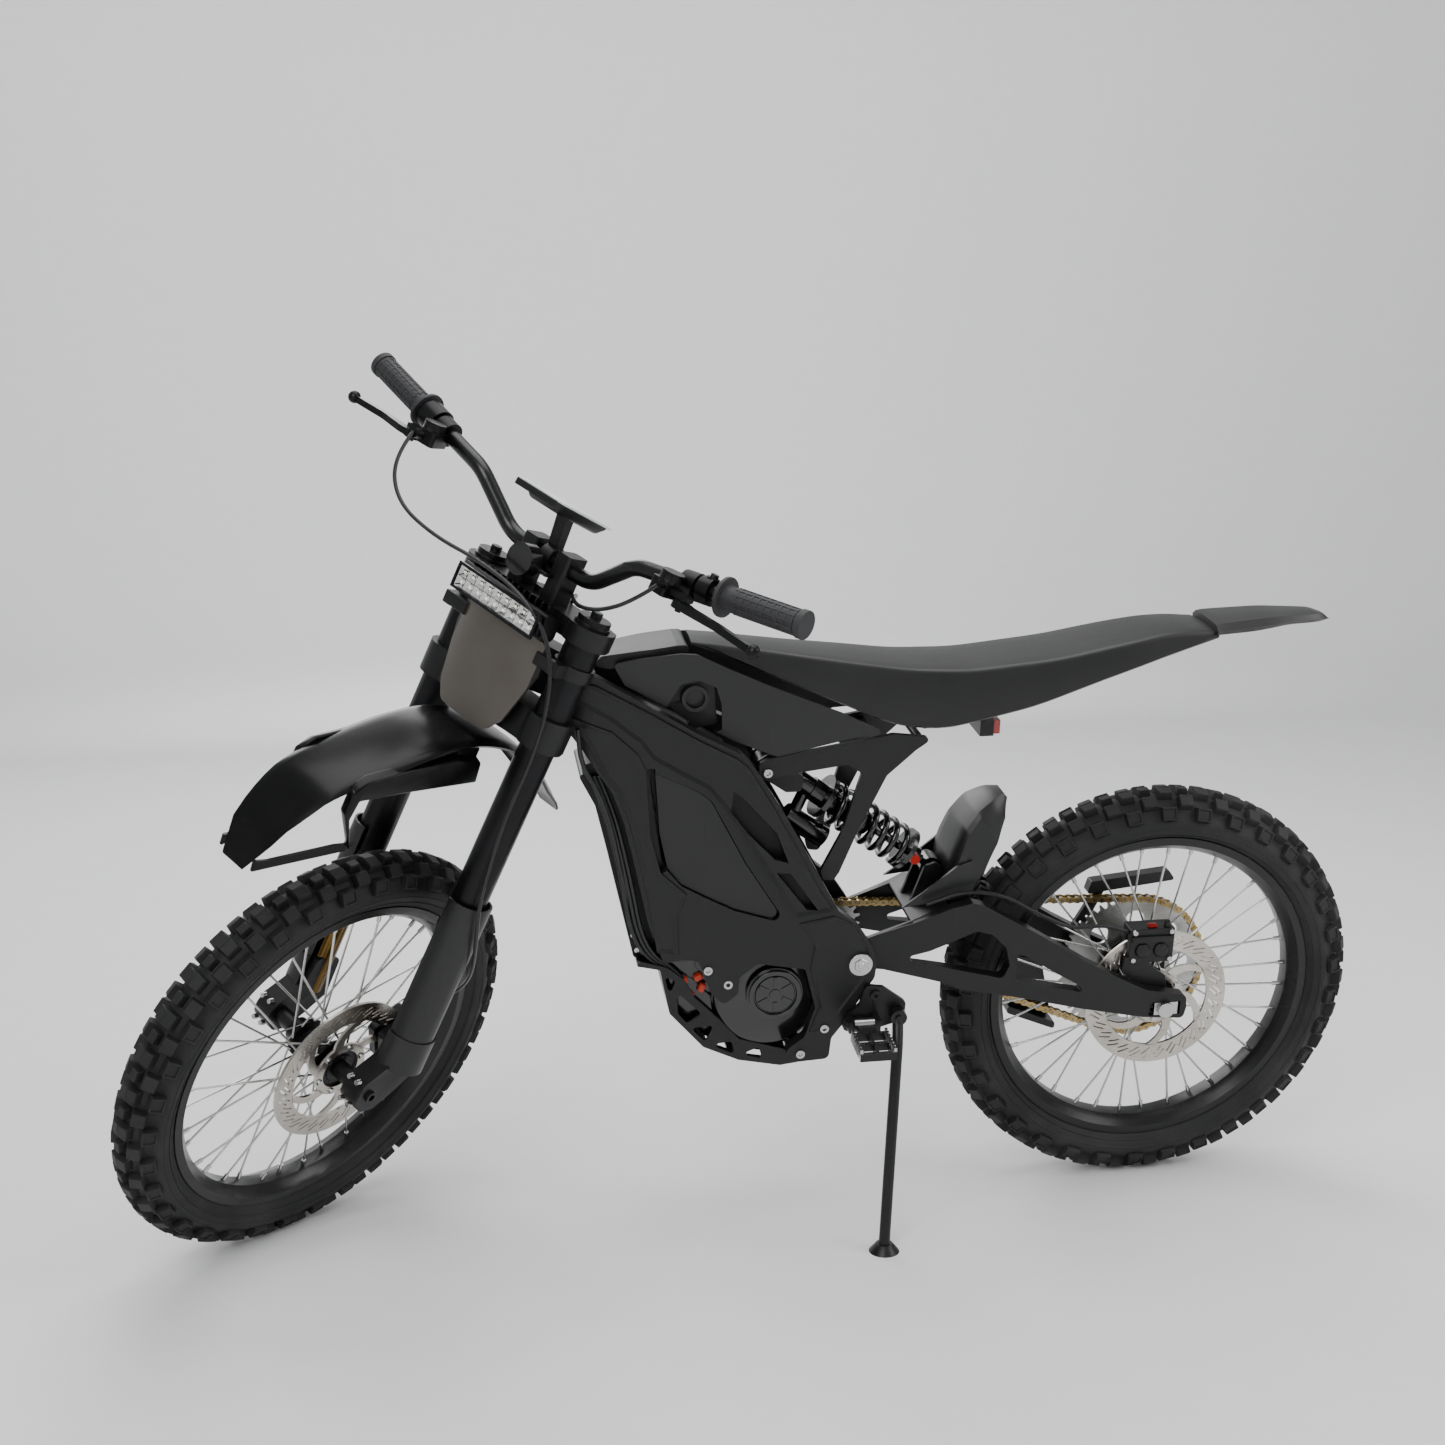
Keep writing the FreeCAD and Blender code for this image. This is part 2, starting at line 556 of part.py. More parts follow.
def swingarm():
    """Two hollowed beams, the bridge ahead of the wheel, and the shock's lower clevis."""
    plan = plan_prism(ARM_PLAN_OUT + ARM_PLAN_IN, 200, 600)
    beam = side_plate(ARM_OUTLINE, 40, 100, 8.0, ARM_OPENINGS).common(plan)
    pocket = side_plate([(24, 329), (-24, 329), (-24, 307), (24, 307)], ARM_Y_OUT - 6, 100, 3.0)
    low, high = REAR_TYRE_R - AXLE_R - 0.5, REAR_TYRE_R + AXLE_R + 0.5
    slot = side_plate([(20, high), (-20, high), (-20, low), (20, low)], 40, 100, AXLE_R)
    beam = beam.cut(pocket).cut(slot)
    bridge = side_plate([(390, 474), (334, 498), (328, 478), (352, 466), (384, 462)], -ARM_Y_IN, ARM_Y_IN, 4.0)
    low_x, low_z = SHOCK_LOW
    ear = side_plate([(low_x - 13, low_z + 6), (low_x - 4, low_z + 13), (low_x + 12, low_z + 8),
                      (384, 470), (340, 484), (low_x - 13, low_z - 6)], 19, 25, 5.0)
    ear = ear.cut(cross_rod(low_x, low_z, 10, 30, SHOCK_BOLT_R))
    nose = cross_rod(PIVOT_X, PIVOT_Z, -ARM_NOSE_IN + 12, ARM_NOSE_IN, 15.0)
    arm = beam.fuse([mirrored(beam), bridge, ear, mirrored(ear)])
    ring = cross_rod(PIVOT_X, PIVOT_Z, ARM_NOSE_IN, ARM_NOSE_OUT, 18.0)
    arm = arm.fuse([ring, mirrored(ring)])
    bolt = cross_rod(low_x, low_z, -25, 25, SHOCK_BOLT_R)
    arm = arm.fuse(bolt)
    spacer = nose.cut(cross_rod(PIVOT_X, PIVOT_Z, -80, 80, PIVOT_R + RUN_CLEARANCE))
    arm = arm.cut(cross_rod(PIVOT_X, PIVOT_Z, -80, 80, PIVOT_R + RUN_CLEARANCE))
    return [arm.fuse(spacer)]


def chain_guides():
    """Upper chain guard on its strut, and the lower guide block."""
    guard = side_plate([(83, 446), (77, 466), (-45, 478), (-56, 462)], -66, -48, 3.0)
    strut = side_plate([(60, 450), (44, 452), (78, 378), (96, 384)], -ARM_Y_OUT + 14, -66, 4.0)
    hook = box_at((50, 66), (-ARM_Y_OUT + 14, -64), (450, 460))
    block = side_plate([(196, 342), (140, 330), (118, 231), (196, 264)], -ARM_Y_IN - 4, -ARM_Y_IN + 2, 6.0)
    shelf = side_plate([(196, 264), (118, 231), (118, 219), (196, 252)], -ARM_Y_IN - 4, -46, 4.0)
    return [guard.fuse([strut, hook]), block.fuse(shelf)]


HUGGER_R = 352.0


def hugger():
    """Mudguard close to the front of the rear tyre, with side wings."""
    def arc_face(radius, half_width, first, last):
        centre = V(0, -half_width, REAR_TYRE_R)
        sector = Part.makeCylinder(radius, 2 * half_width, centre, Y_AXIS, 360)
        wedge = [V(0, -half_width, REAR_TYRE_R)]
        for angle in (first, (first + last) / 2.0, last):
            a = math.radians(angle)
            wedge.append(V(600 * math.cos(a), -half_width, REAR_TYRE_R + 600 * math.sin(a)))
        wedge.append(wedge[0])
        return sector.common(Part.Face(Part.makePolygon(wedge)).extrude(V(0, 2 * half_width, 0)))
    sheet = arc_face(HUGGER_R + 4, 60, 27, 54).cut(arc_face(HUGGER_R, 70, 10, 80))
    wing = side_plate([(400, 492), (350, 528), (326, 544), (285, 572), (240, 612), (206, 596), (262, 548), (296, 508),
                       (314, 502)], 56, 60, 6.0)
    return [sheet.fuse([wing, mirrored(wing)])]


def rear_axle():
    """Axle with nuts, and the adjuster blocks in the dropouts."""
    axle = cross_rod(0, REAR_TYRE_R, -ARM_Y_OUT - 4, ARM_Y_OUT + 4, AXLE_R)
    nuts = [Part.makeCylinder(12.0, 7.0, V(0, s * (ARM_Y_OUT + 1), REAR_TYRE_R), V(0, s, 0)) for s in (1, -1)]
    block = box_at((-20, 16), (ARM_Y_OUT - 5.5, ARM_Y_OUT + 0.5), (REAR_TYRE_R - 10, REAR_TYRE_R + 10))
    block = block.cut(cross_rod(0, REAR_TYRE_R, 60, 120, AXLE_R))
    collar = cross_rod(0, REAR_TYRE_R, REAR_HUB_HALF + 0.5, ARM_Y_IN - 0.5, 12.0, AXLE_R)
    return [axle.fuse(nuts), block, mirrored(block), collar, mirrored(collar)]


CALIPER_R = 86.0


def rear_caliper():
    """Caliper over the rear disc on its floating bracket, with the hose clipped along the beam."""
    centre = V(20, 0, REAR_TYRE_R + CALIPER_R)
    body = box_at((centre.x - 34, centre.x + 34), (DISC_Y - 16, DISC_Y + 16), (centre.z - 20, centre.z + 34))
    slot = box_at((centre.x - 40, centre.x + 40), (DISC_Y - 4, DISC_Y + 4), (centre.z - 30, centre.z + 27))
    body = body.cut(slot)
    bracket = side_plate([(30, 400), (60, 392), (64, 372), (20, 334), (8, 330), (-10, 340), (-6, 360), (20, 380)],
                         REAR_HUB_HALF + 1, REAR_HUB_HALF + 8, 5.0)
    hose, radii = tube_along([V(50, DISC_Y + 8, 430), V(92, DISC_Y + 14, 448), V(150, 72, 450), V(205, 77, 480),
                              V(255, 78, 512), V(312, 76, 521), V(368, 70, 500)], 2.8)
    HOSE_RADII["rear hose, lower"] = radii
    return [body.fuse(bracket), hose]


HOSE_RADII = {}


# ---- chain and sprockets ------------------------------------------------------------------------------
def pitch_radius(teeth):
    """Radius of the circle through the chain's pins."""
    return CHAIN_PITCH / 2.0 / math.sin(math.pi / teeth)


def sprocket(teeth, x, z, bore, holes=0, hole_r=0.0, hole_pcd=0.0):
    """Toothed wheel across the machine at the chain line."""
    mid = pitch_radius(teeth)
    points = []
    for k in range(teeth):
        for step, radius in ((-0.32, mid - 3.6), (-0.12, mid + 4.2), (0.12, mid + 4.2), (0.32, mid - 3.6)):
            a = 2 * math.pi * (k + 0.5 + step) / teeth
            points.append(V(x + radius * math.cos(a), CHAIN_Y - SPROCKET_T / 2, z + radius * math.sin(a)))
    points.append(points[0])
    wheel = Part.Face(Part.makePolygon(points)).extrude(V(0, SPROCKET_T, 0))
    wheel = wheel.cut(cross_rod(x, z, CHAIN_Y - 20, CHAIN_Y + 20, bore))
    for k in range(holes):
        a = 2 * math.pi * k / holes
        wheel = wheel.cut(cross_rod(x + hole_pcd * math.cos(a), z + hole_pcd * math.sin(a), CHAIN_Y - 20,
                                    CHAIN_Y + 20, hole_r))
    return wheel


def drive_sprocket():
    """Small sprocket about the swingarm pivot."""
    wheel = sprocket(DRIVE_TEETH, PIVOT_X, PIVOT_Z, PIVOT_R + RUN_CLEARANCE)
    boss = cross_rod(PIVOT_X, PIVOT_Z, CHAIN_Y + SPROCKET_T / 2, -ARM_NOSE_IN + 11.5, 17.0, PIVOT_R + RUN_CLEARANCE)
    return [wheel.fuse(boss)]


def rear_sprocket():
    """Large sprocket on the hub's right side."""
    wheel = sprocket(REAR_TEETH, 0, REAR_TYRE_R, 28.0, 8, 15.0, 78.0)
    for k in range(6):
        a = 2 * math.pi * (k + 0.25) / 6
        wheel = wheel.cut(cross_rod(42 * math.cos(a), REAR_TYRE_R + 42 * math.sin(a), CHAIN_Y - 9, CHAIN_Y + 9, 4.0))
    return [wheel]


def belt_band(offset, y_from, y_to):
    """Solid inside a line run round both sprockets at an offset from the pitch line."""
    small, large = pitch_radius(DRIVE_TEETH) + offset, pitch_radius(REAR_TEETH) + offset
    along = V(PIVOT_X, 0, PIVOT_Z) - V(0, 0, REAR_TYRE_R)
    reach = along.Length
    along.normalize()
    up = V(-along.z, 0, along.x)
    lift = math.asin((large - small) / reach)
    def on_circle(centre, radius, angle):
        return centre + (along * math.cos(angle) + up * math.sin(angle)) * radius + V(0, y_from, 0)
    back, front = V(0, 0, REAR_TYRE_R), V(PIVOT_X, 0, PIVOT_Z)
    top = math.pi / 2 - lift
    edges = [Part.Arc(on_circle(back, large, top), on_circle(back, large, math.pi),
                      on_circle(back, large, -top)).toShape(),
             Part.makeLine(on_circle(back, large, -top), on_circle(front, small, -top)),
             Part.Arc(on_circle(front, small, -top), on_circle(front, small, 0),
                      on_circle(front, small, top)).toShape(),
             Part.makeLine(on_circle(front, small, top), on_circle(back, large, top))]
    return Part.Face(Part.Wire(edges)).extrude(V(0, y_to - y_from, 0))


def chain():
    """The chain's two rows of link plates, each as one closed band beside the sprockets."""
    solids = []
    half = CHAIN_PLATE_H / 2.0
    for side in (1, -1):
        y_from = CHAIN_Y + side * CHAIN_INNER_W / 2.0
        y_to = y_from + side * CHAIN_PLATE_T
        solids.append(belt_band(half, y_from, y_to).cut(belt_band(-half, y_from, y_to)))
    return solids


# ---- wheels -------------------------------------------------------------------------------------------
def rim(centre, half_width):
    """Rim section: bead seat, flanges and spoke bed."""
    inner = BEAD_R - RIM_DEPTH
    outline = [(BEAD_R, -half_width), (BEAD_R + RIM_FLANGE_H, -half_width), (BEAD_R + RIM_FLANGE_H, -half_width - 3),
               (BEAD_R - 4, -half_width - 3), (inner, -half_width * 0.45), (inner, half_width * 0.45),
               (BEAD_R - 4, half_width + 3), (BEAD_R + RIM_FLANGE_H, half_width + 3),
               (BEAD_R + RIM_FLANGE_H, half_width), (BEAD_R, half_width), (inner + 5, half_width * 0.4),
               (inner + 5, -half_width * 0.4)]
    return [turned(outline, centre)]


def tyre(centre, outer, section, half_width):
    """Hollow tyre: round tread section, side walls and beads."""
    middle = outer - section
    shoulder = BEAD_R + RIM_FLANGE_H + 1.5
    wide = math.sqrt(section ** 2 - (middle - shoulder) ** 2)
    inside = section - TYRE_WALL
    bead_y = half_width - 0.4
    low = BEAD_R + 0.4
    inner_y = bead_y - 7.0
    inner_low = middle - math.sqrt(max(inside ** 2 - inner_y ** 2, 1.0))
    points = [V(shoulder, wide, 0), V(shoulder, bead_y, 0), V(low, bead_y, 0), V(low, inner_y, 0),
              V(inner_low, inner_y, 0)]
    mirror = [V(p.x, -p.y, 0) for p in reversed(points)]
    edges = [Part.makeLine(points[i], points[i + 1]) for i in range(4)]
    edges.append(Part.Arc(points[4], V(middle + inside, 0, 0), mirror[0]).toShape())
    edges += [Part.makeLine(mirror[i], mirror[i + 1]) for i in range(4)]
    edges.append(Part.Arc(mirror[4], V(outer, 0, 0), points[0]).toShape())
    solid = Part.Face(Part.Wire(edges)).revolve(V(0, 0, 0), Y_AXIS, 360)
    solid.translate(centre)
    return [solid]


def hub(centre, half, carrier_y=None):
    """Hub barrel with two spoke flanges and a disc flange, and a sprocket carrier on the rear one."""
    flange_in, flange_out = HUB_FLANGE_Y - 3.0, HUB_FLANGE_Y + 3.0
    disc_face = DISC_Y - DISC_T / 2.0
    outline = [(12.5, -half), (12.5, half), (22.0, half), (22.0, disc_face), (36.0, disc_face),
               (36.0, disc_face - 6), (HUB_BARREL_R, flange_out + 2), (HUB_FLANGE_R, flange_out),
               (HUB_FLANGE_R, flange_in), (HUB_BARREL_R, flange_in - 4), (HUB_BARREL_R, -flange_in + 4),
               (HUB_FLANGE_R, -flange_in), (HUB_FLANGE_R, -flange_out), (HUB_BARREL_R, -flange_out - 2)]
    if carrier_y is None:
        outline += [(HUB_BARREL_R, -half)]
    else:
        outline += [(CARRIER_R - 14, carrier_y + 10), (CARRIER_R, carrier_y + 8), (CARRIER_R, carrier_y),
                    (27.5, carrier_y), (27.5, -half)]
    shell = turned(outline, centre)
    ends = [cross_rod(centre.x, centre.z, s * (half - 9), s * half, 12.5, AXLE_R + RUN_CLEARANCE) for s in (1, -1)]
    return [shell.fuse(ends)]


def spokes(centre):
    """Crossed wire spokes from both hub flanges to the rim, each with its nipple."""
    solids = []
    root_r, tip_r = HUB_FLANGE_R - 3.5, BEAD_R - RIM_DEPTH + 3.0
    for k in range(SPOKE_COUNT):
        side = 1 if k % 2 else -1
        lean = 1 if (k // 2) % 2 else -1
        tip_angle = 2 * math.pi * (k + 0.5) / SPOKE_COUNT
        root_angle = tip_angle + lean * math.radians(62)
        root_y = side * (HUB_FLANGE_Y + lean * 1.2)
        root = centre + V(root_r * math.cos(root_angle), root_y, root_r * math.sin(root_angle))
        tip = centre + V(tip_r * math.cos(tip_angle), side * 3.0, tip_r * math.sin(tip_angle))
        inward = root - tip
        inward.normalize()
        spoke = rod(root, tip, SPOKE_R).fuse(rod(tip, tip + inward * 15, SPOKE_R + 1.5))
        solids.append(spoke)
    return solids


def brake_disc(centre):
    """Slotted brake disc on the left side of a wheel."""
    y_from, y_to = DISC_Y - DISC_T / 2.0, DISC_Y + DISC_T / 2.0
    disc = cross_rod(centre.x, centre.z, y_from, y_to, DISC_R, 22.2)
    for k in range(6):
        a = 2 * math.pi * k / 6
        c, s = math.cos(a), math.sin(a)
        window = [(62, -16), (80, -20), (82, 6), (66, 12), (46, 2)]
        moved = [(centre.x + c * u - s * w, centre.z + s * u + c * w) for u, w in window]
        disc = disc.cut(side_plate(moved, y_from - 1, y_to + 1, 4.0))
    for k in range(36):
        a = 2 * math.pi * k / 36
        near = V(centre.x + 90 * math.cos(a), y_from - 1, centre.z + 90 * math.sin(a))
        b = a + 0.11
        far = V(centre.x + 101 * math.cos(b), y_from - 1, centre.z + 101 * math.sin(b))
        across = (far - near).cross(Y_AXIS)
        across.normalize()
        across = across * 1.7
        slot = Part.Face(Part.makePolygon([near + across, far + across, far - across, near - across, near + across]))
        disc = disc.cut(slot.extrude(V(0, DISC_T + 2, 0)))
    return [disc]


# ---- shock --------------------------------------------------------------------------------------------
def shock_line():
    """Top and lower bolt centres of the shock, and the unit vector between them."""
    top, low = V(SHOCK_TOP[0], 0, SHOCK_TOP[1]), V(SHOCK_LOW[0], 0, SHOCK_LOW[1])
    along = low - top
    along.normalize()
    return top, low, along


SHOCK_OPEN = 4.0               # clearance at the lower eye, where the linkage is opened
SHOCK_SEAT = 62.0              # spring's upper seat from the top bolt
SHOCK_CAP = 205.0              # spring's lower seat from the top bolt


def shock_body():
    """Upper eye, damper tube and spring seat."""
    top, _, along = shock_line()
    eye = cross_rod(top.x, top.z, -15, 15, EYE_R)
    tube = rod(top + along * 34, top + along * 138, 17.0, 9.0)
    head = rod(top + along * 8, top + along * 40, 15.0)
    seat_ring = rod(top + along * (SHOCK_SEAT - 8), top + along * SHOCK_SEAT, 33.0, 16.0)
    reservoir_from = top + along * 22 + V(26, 0, -44)
    reservoir = rod(reservoir_from, reservoir_from + along * 70, 16.0)
    neck = rod(top + along * 28, reservoir_from + along * 12, 9.0)
    body = eye.fuse([tube, head, seat_ring, reservoir, neck])
    return [body.cut(cross_rod(top.x, top.z, -16, 16, SHOCK_BOLT_R + RUN_CLEARANCE))]


def shock_rod():
    """Damper rod, lower spring seat, adjuster knob and lower eye."""
    top, low, along = shock_line()
    reach = (low - top).Length
    bar = rod(top + along * 120, top + along * (reach - 8), 6.5)
    seat_ring = rod(top + along * SHOCK_CAP, top + along * (SHOCK_CAP + 7), 32.0)
    knob = rod(top + along * (SHOCK_CAP + 12), top + along * (SHOCK_CAP + 26), 13.0)
    eye = cross_rod(low.x, low.z, -14, 14, EYE_R + 2)
    body = bar.fuse([seat_ring, knob, eye])
    return [body.cut(cross_rod(low.x, low.z, -16, 16, SHOCK_BOLT_R + SHOCK_OPEN))]


def shock_spring():
    """Coil spring as its rings, between the two seats."""
    top, _, along = shock_line()
    length = SHOCK_CAP - SHOCK_SEAT - 2 * SPRING_WIRE_R - 1.0
    rings = []
    for k in range(SPRING_TURNS + 1):
        at = top + along * (SHOCK_SEAT + SPRING_WIRE_R + 0.5 + length * k / SPRING_TURNS)
        rings.append(Part.makeTorus(SPRING_R, SPRING_WIRE_R, at, along))
    return rings


# ---- fork and steering --------------------------------------------------------------------------------
def triple_clamps():
    """Lower and upper fork clamps on one stem, with the bar risers."""
    def clamp(low, high, waist):
        plate = steer_slab([(126, -24), (126, 30), (60, 34), (26, waist), (-26, waist), (-60, 34), (-126, 30),
                            (-126, -24), (-70, -28), (0, -30), (70, -28)], low, high, 10.0)
        for side in (FORK_SPREAD, -FORK_SPREAD):
            plate = plate.fuse(leg_rod(side, low, high, OUTER_TUBE_R + 8))
            plate = plate.cut(leg_rod(side, low - 5, high + 5, OUTER_TUBE_R))
            plate = plate.cut(steer_slab([(side * 1.3, 2), (side * 1.3, 8), (side, 8), (side, 2)], low - 1, high + 1,
                                         0.0))
        return plate
    lower = clamp(LOWER_CLAMP[0], LOWER_CLAMP[1], 40)
    upper = clamp(UPPER_CLAMP[0], UPPER_CLAMP[1], 36)
    stem = rod(fork_point(LOWER_CLAMP[0], 0), fork_point(UPPER_CLAMP[1] + 8, 0), STEM_R)
    risers = []
    for side in (32, -32):
        block = steer_slab([(side - 13, -6), (side + 13, -6), (side + 13, 32), (side - 13, 32)], UPPER_CLAMP[1] - 2,
                           BAR_CENTRE[0] + 19, 5.0)
        bar = rod(fork_point(BAR_CENTRE[0], BAR_CENTRE[1], side - 20), fork_point(BAR_CENTRE[0], BAR_CENTRE[1],
                                                                                 side + 20), BAR_R)
        risers.append(block.cut(bar))
    guide = steer_slab([(0, -54), (20, -54), (20, -24), (0, -24)], UPPER_CLAMP[0], UPPER_CLAMP[0] + 8, 3.0)
    guide = guide.cut(rod(fork_point(650, -44, 10), fork_point(760, -44, 10), HOSE_R + 0.4))
    return [lower.fuse([upper, stem, guide] + risers)]


def fork_outer_tubes():
    """Upper fork tubes with their caps."""
    solids = []
    for side in (FORK_SPREAD, -FORK_SPREAD):
        tube = leg_rod(side, TUBE_FOOT, TUBE_TOP, OUTER_TUBE_R, OUTER_TUBE_R - TUBE_WALL)
        collar = leg_rod(side, TUBE_FOOT - 14, TUBE_FOOT + 6, OUTER_TUBE_R + 3, INNER_TUBE_R + 0.5)
        cap = leg_rod(side, TUBE_TOP - 12, TUBE_TOP + 8, OUTER_TUBE_R - 2)
        knob = leg_rod(side, TUBE_TOP + 8, TUBE_TOP + 16, 8.0)
        solids.append(tube.fuse([collar, cap, knob]))
    return solids


FOOT_OUTLINE = [(-16, 92), (28, 92), (34, 50), (72, 18), (76, -10), (60, -26), (36, -24), (10, 0), (-18, 30)]
FOOT_HALF = 17.0


def fork_sliders():
    """Inner fork tubes with their cast feet, and the front axle clamped in them."""
    legs = []
    for side in (FORK_SPREAD, -FORK_SPREAD):
        out = 1 if side > 0 else -1
        tube = leg_rod(side, 34, TUBE_FOOT + 255, INNER_TUBE_R)
        foot = steer_plate(FOOT_OUTLINE, side - FOOT_HALF, side + FOOT_HALF, 10.0)
        low_foot = fork_point(0, AXLE_LEAD, side - FOOT_HALF + 1)
        boss = Part.makeCylinder(24.0, 2 * FOOT_HALF - 2, low_foot, Y_AXIS)
        leg = tube.fuse([foot, boss]).cut(Part.makeCylinder(AXLE_R, 60.0, low_foot - Y_AXIS * 10, Y_AXIS))
        legs.append(leg)
        collar_from = fork_point(0, AXLE_LEAD, out * (FRONT_HUB_HALF + 0.5))
        collar = Part.makeCylinder(13.0, FORK_SPREAD - FOOT_HALF - FRONT_HUB_HALF - 1.0, collar_from, V(0, out, 0))
        legs.append(collar.cut(Part.makeCylinder(AXLE_R, 60.0, collar_from, V(0, out, 0))))
    reach = FORK_SPREAD + 22
    axle = rod(FRONT_AXLE - Y_AXIS * reach, FRONT_AXLE + Y_AXIS * reach, AXLE_R)
    axle = axle.cut(rod(FRONT_AXLE + Y_AXIS * (reach - 20), FRONT_AXLE + Y_AXIS * reach, 5.0))
    return legs + [axle]


GUARD_GAP = 3.0
GUARD_T = 3.0


def fork_guards():
    """Plastic guards round the front and outside of the inner tubes."""
    solids = []
    for side in (FORK_SPREAD, -FORK_SPREAD):
        out = 1 if side > 0 else -1
        inner = OUTER_TUBE_R + 3 + GUARD_GAP
        shell = leg_rod(side, 40, 305, inner + GUARD_T, inner)
        flare = leg_rod(side, 40, 92, inner + GUARD_T + 3, inner)
        keep = steer_slab([(side - out * 8, 50), (side + out * 50, 50), (side + out * 50, -24), (side + out * 12, -34),
                           (side - out * 8, 10)], 20, 320, 2.0)
        shell = shell.fuse(flare).common(keep)
        tie = steer_plate([(-6, 74), (14, 74), (14, 56), (-6, 56)], side + out * (FOOT_HALF + 0.3),
                          side + out * (inner + 1), 2.0)
        foot_room = steer_plate(FOOT_OUTLINE, side - FOOT_HALF - 0.3, side + FOOT_HALF + 0.3, 10.0)
        shell = shell.cut(foot_room).cut(Part.makeCylinder(25.0, 80.0, fork_point(0, AXLE_LEAD, side - 40), Y_AXIS))
        solids.append(shell.fuse(tie).cut(leg_rod(side, 20, 320, INNER_TUBE_R + 0.5)))
    return solids


def front_caliper():
    """Caliper over the front disc, bolted behind the left foot."""
    angle = math.radians(150)
    def around(radius, turn):
        a = angle + turn
        return (AXLE_LEAD + radius * math.cos(a), radius * math.sin(a))
    outline = [around(70, 0.42), around(127, 0.28), around(127, -0.28), around(70, -0.42)]
    body = steer_plate(outline, DISC_Y - 17, DISC_Y + 17, 6.0)
    slot = steer_plate([around(50, 0.9), around(DISC_R + 9, 0.60), around(DISC_R + 9, 0.25),
                        around(DISC_R + 9, -0.25), around(DISC_R + 9, -0.60), around(50, -0.9)], DISC_Y - 4,
                       DISC_Y + 4, 2.0)
    body = body.cut(slot)
    lug = steer_plate([(-62, 78), (-44, 84), (-14, 64), (-16, 44), (-40, 40)], DISC_Y + 17, FORK_SPREAD - 17, 5.0)
    hose_pipe = rod(fork_point(76, -42, DISC_Y + 8), fork_point(114, -60, DISC_Y + 22), 4.0)
    return [body.fuse([lug, hose_pipe])]


def bar_line(side):
    """Inner and outer points of a handlebar end's centre line."""
    rise = fork_point(BAR_RISE[0], BAR_RISE[1], side * BAR_HALF_RISE)
    end = fork_point(BAR_END[0], BAR_END[1], side * BAR_HALF_END)
    return rise, end


def on_bar(side, distance):
    """Point on a bar end's centre line at a sideways distance."""
    rise, end = bar_line(side)
    share = (distance - BAR_HALF_RISE) / (BAR_HALF_END - BAR_HALF_RISE)
    return rise + (end - rise) * share


def handlebar():
    """One bent tube."""
    middle = [fork_point(BAR_CENTRE[0], BAR_CENTRE[1], s * BAR_HALF_CENTRE) for s in (1, -1)]
    left_rise, left_end = bar_line(1)
    right_rise, right_end = bar_line(-1)
    tube, _ = tube_along([left_end, left_rise, middle[0], middle[1], right_rise, right_end], BAR_R, BAR_BORE_R, 55.0)
    return [tube]


def grip(side, bore_gap):
    """Ribbed grip sleeve with its inner flange."""
    inner, outer = on_bar(side, GRIP_INNER_Y), on_bar(side, BAR_HALF_END)
    along = outer - inner
    along.normalize()
    flange = rod(inner, inner + along * 5, 26.0)
    sleeve = rod(inner, outer + along * 1, GRIP_R)
    end_bead = rod(outer - along * 6, outer + along * 3, GRIP_R + 2.5)
    return [sleeve.fuse([flange, end_bead]).cut(rod(inner - along, outer + along * 0.4, BAR_R + bore_gap))]


def bar_controls():
    """Left and right master cylinders with their clamps, and the switch housings."""
    solids = []
    for side in (1, -1):
        near, far = on_bar(side, 226), on_bar(side, 248)
        clamp = rod(near, far, BAR_R + 7, BAR_R)
        height, lead, pivot_y = LEVER_PIVOT
        body = steer_slab([(side * 208, lead + 12), (side * 222, lead - 32), (side * 248, lead - 34),
                           (side * 250, lead - 19), (side * 240, lead), (side * 236, lead + 14)], height - 2,
                          height + 18, 5.0)
        body = body.cut(rod(near - (far - near), far + (far - near), BAR_R))
        cup = rod(fork_point(height + 16, lead - 2, side * 228), fork_point(height + 30, lead - 2, side * 228), 15.0)
        horn_lug = steer_slab([(side * 236, lead + 8), (side * 244, lead - 10), (side * 268, lead - 12),
                               (side * 268, lead + 9)], height + 6, height + 12, 4.0)
        pin = rod(fork_point(height - 10, lead, side * pivot_y), fork_point(height + 12, lead, side * pivot_y), 4.0)
        hose_height, hose_lead, _ = (REAR_HOSE if side > 0 else FRONT_HOSE)[0]
        banjo = rod(fork_point(hose_height, lead + 10, side * 230),
                    fork_point(hose_height, hose_lead - 0.3, side * 230), 6.5)
        solids.append(clamp.fuse([body, cup, horn_lug, pin, banjo]))
    inner, outer = on_bar(1, 252), on_bar(1, 270)
    face_at = on_bar(1, 261)
    switches = rod(inner, outer, 18.0).fuse(rod(face_at, face_at + STEER_DIR * 18, 9.0))
    socket = rod(face_at + STEER_DIR * 10, face_at + STEER_DIR * 22, 6.0)
    solids.append(switches.cut(socket).cut(rod(inner, on_bar(1, GRIP_INNER_Y - 3), BAR_R)))
    solids.append(rod(on_bar(-1, 252), on_bar(-1, GRIP_INNER_Y - 3), 21.0, BAR_R))
    return solids


def mode_button():
    """Mode button on the left switch housing."""
    face_at = on_bar(1, 261)
    return [rod(face_at + STEER_DIR * 15.5, face_at + STEER_DIR * 23, 5.5)]


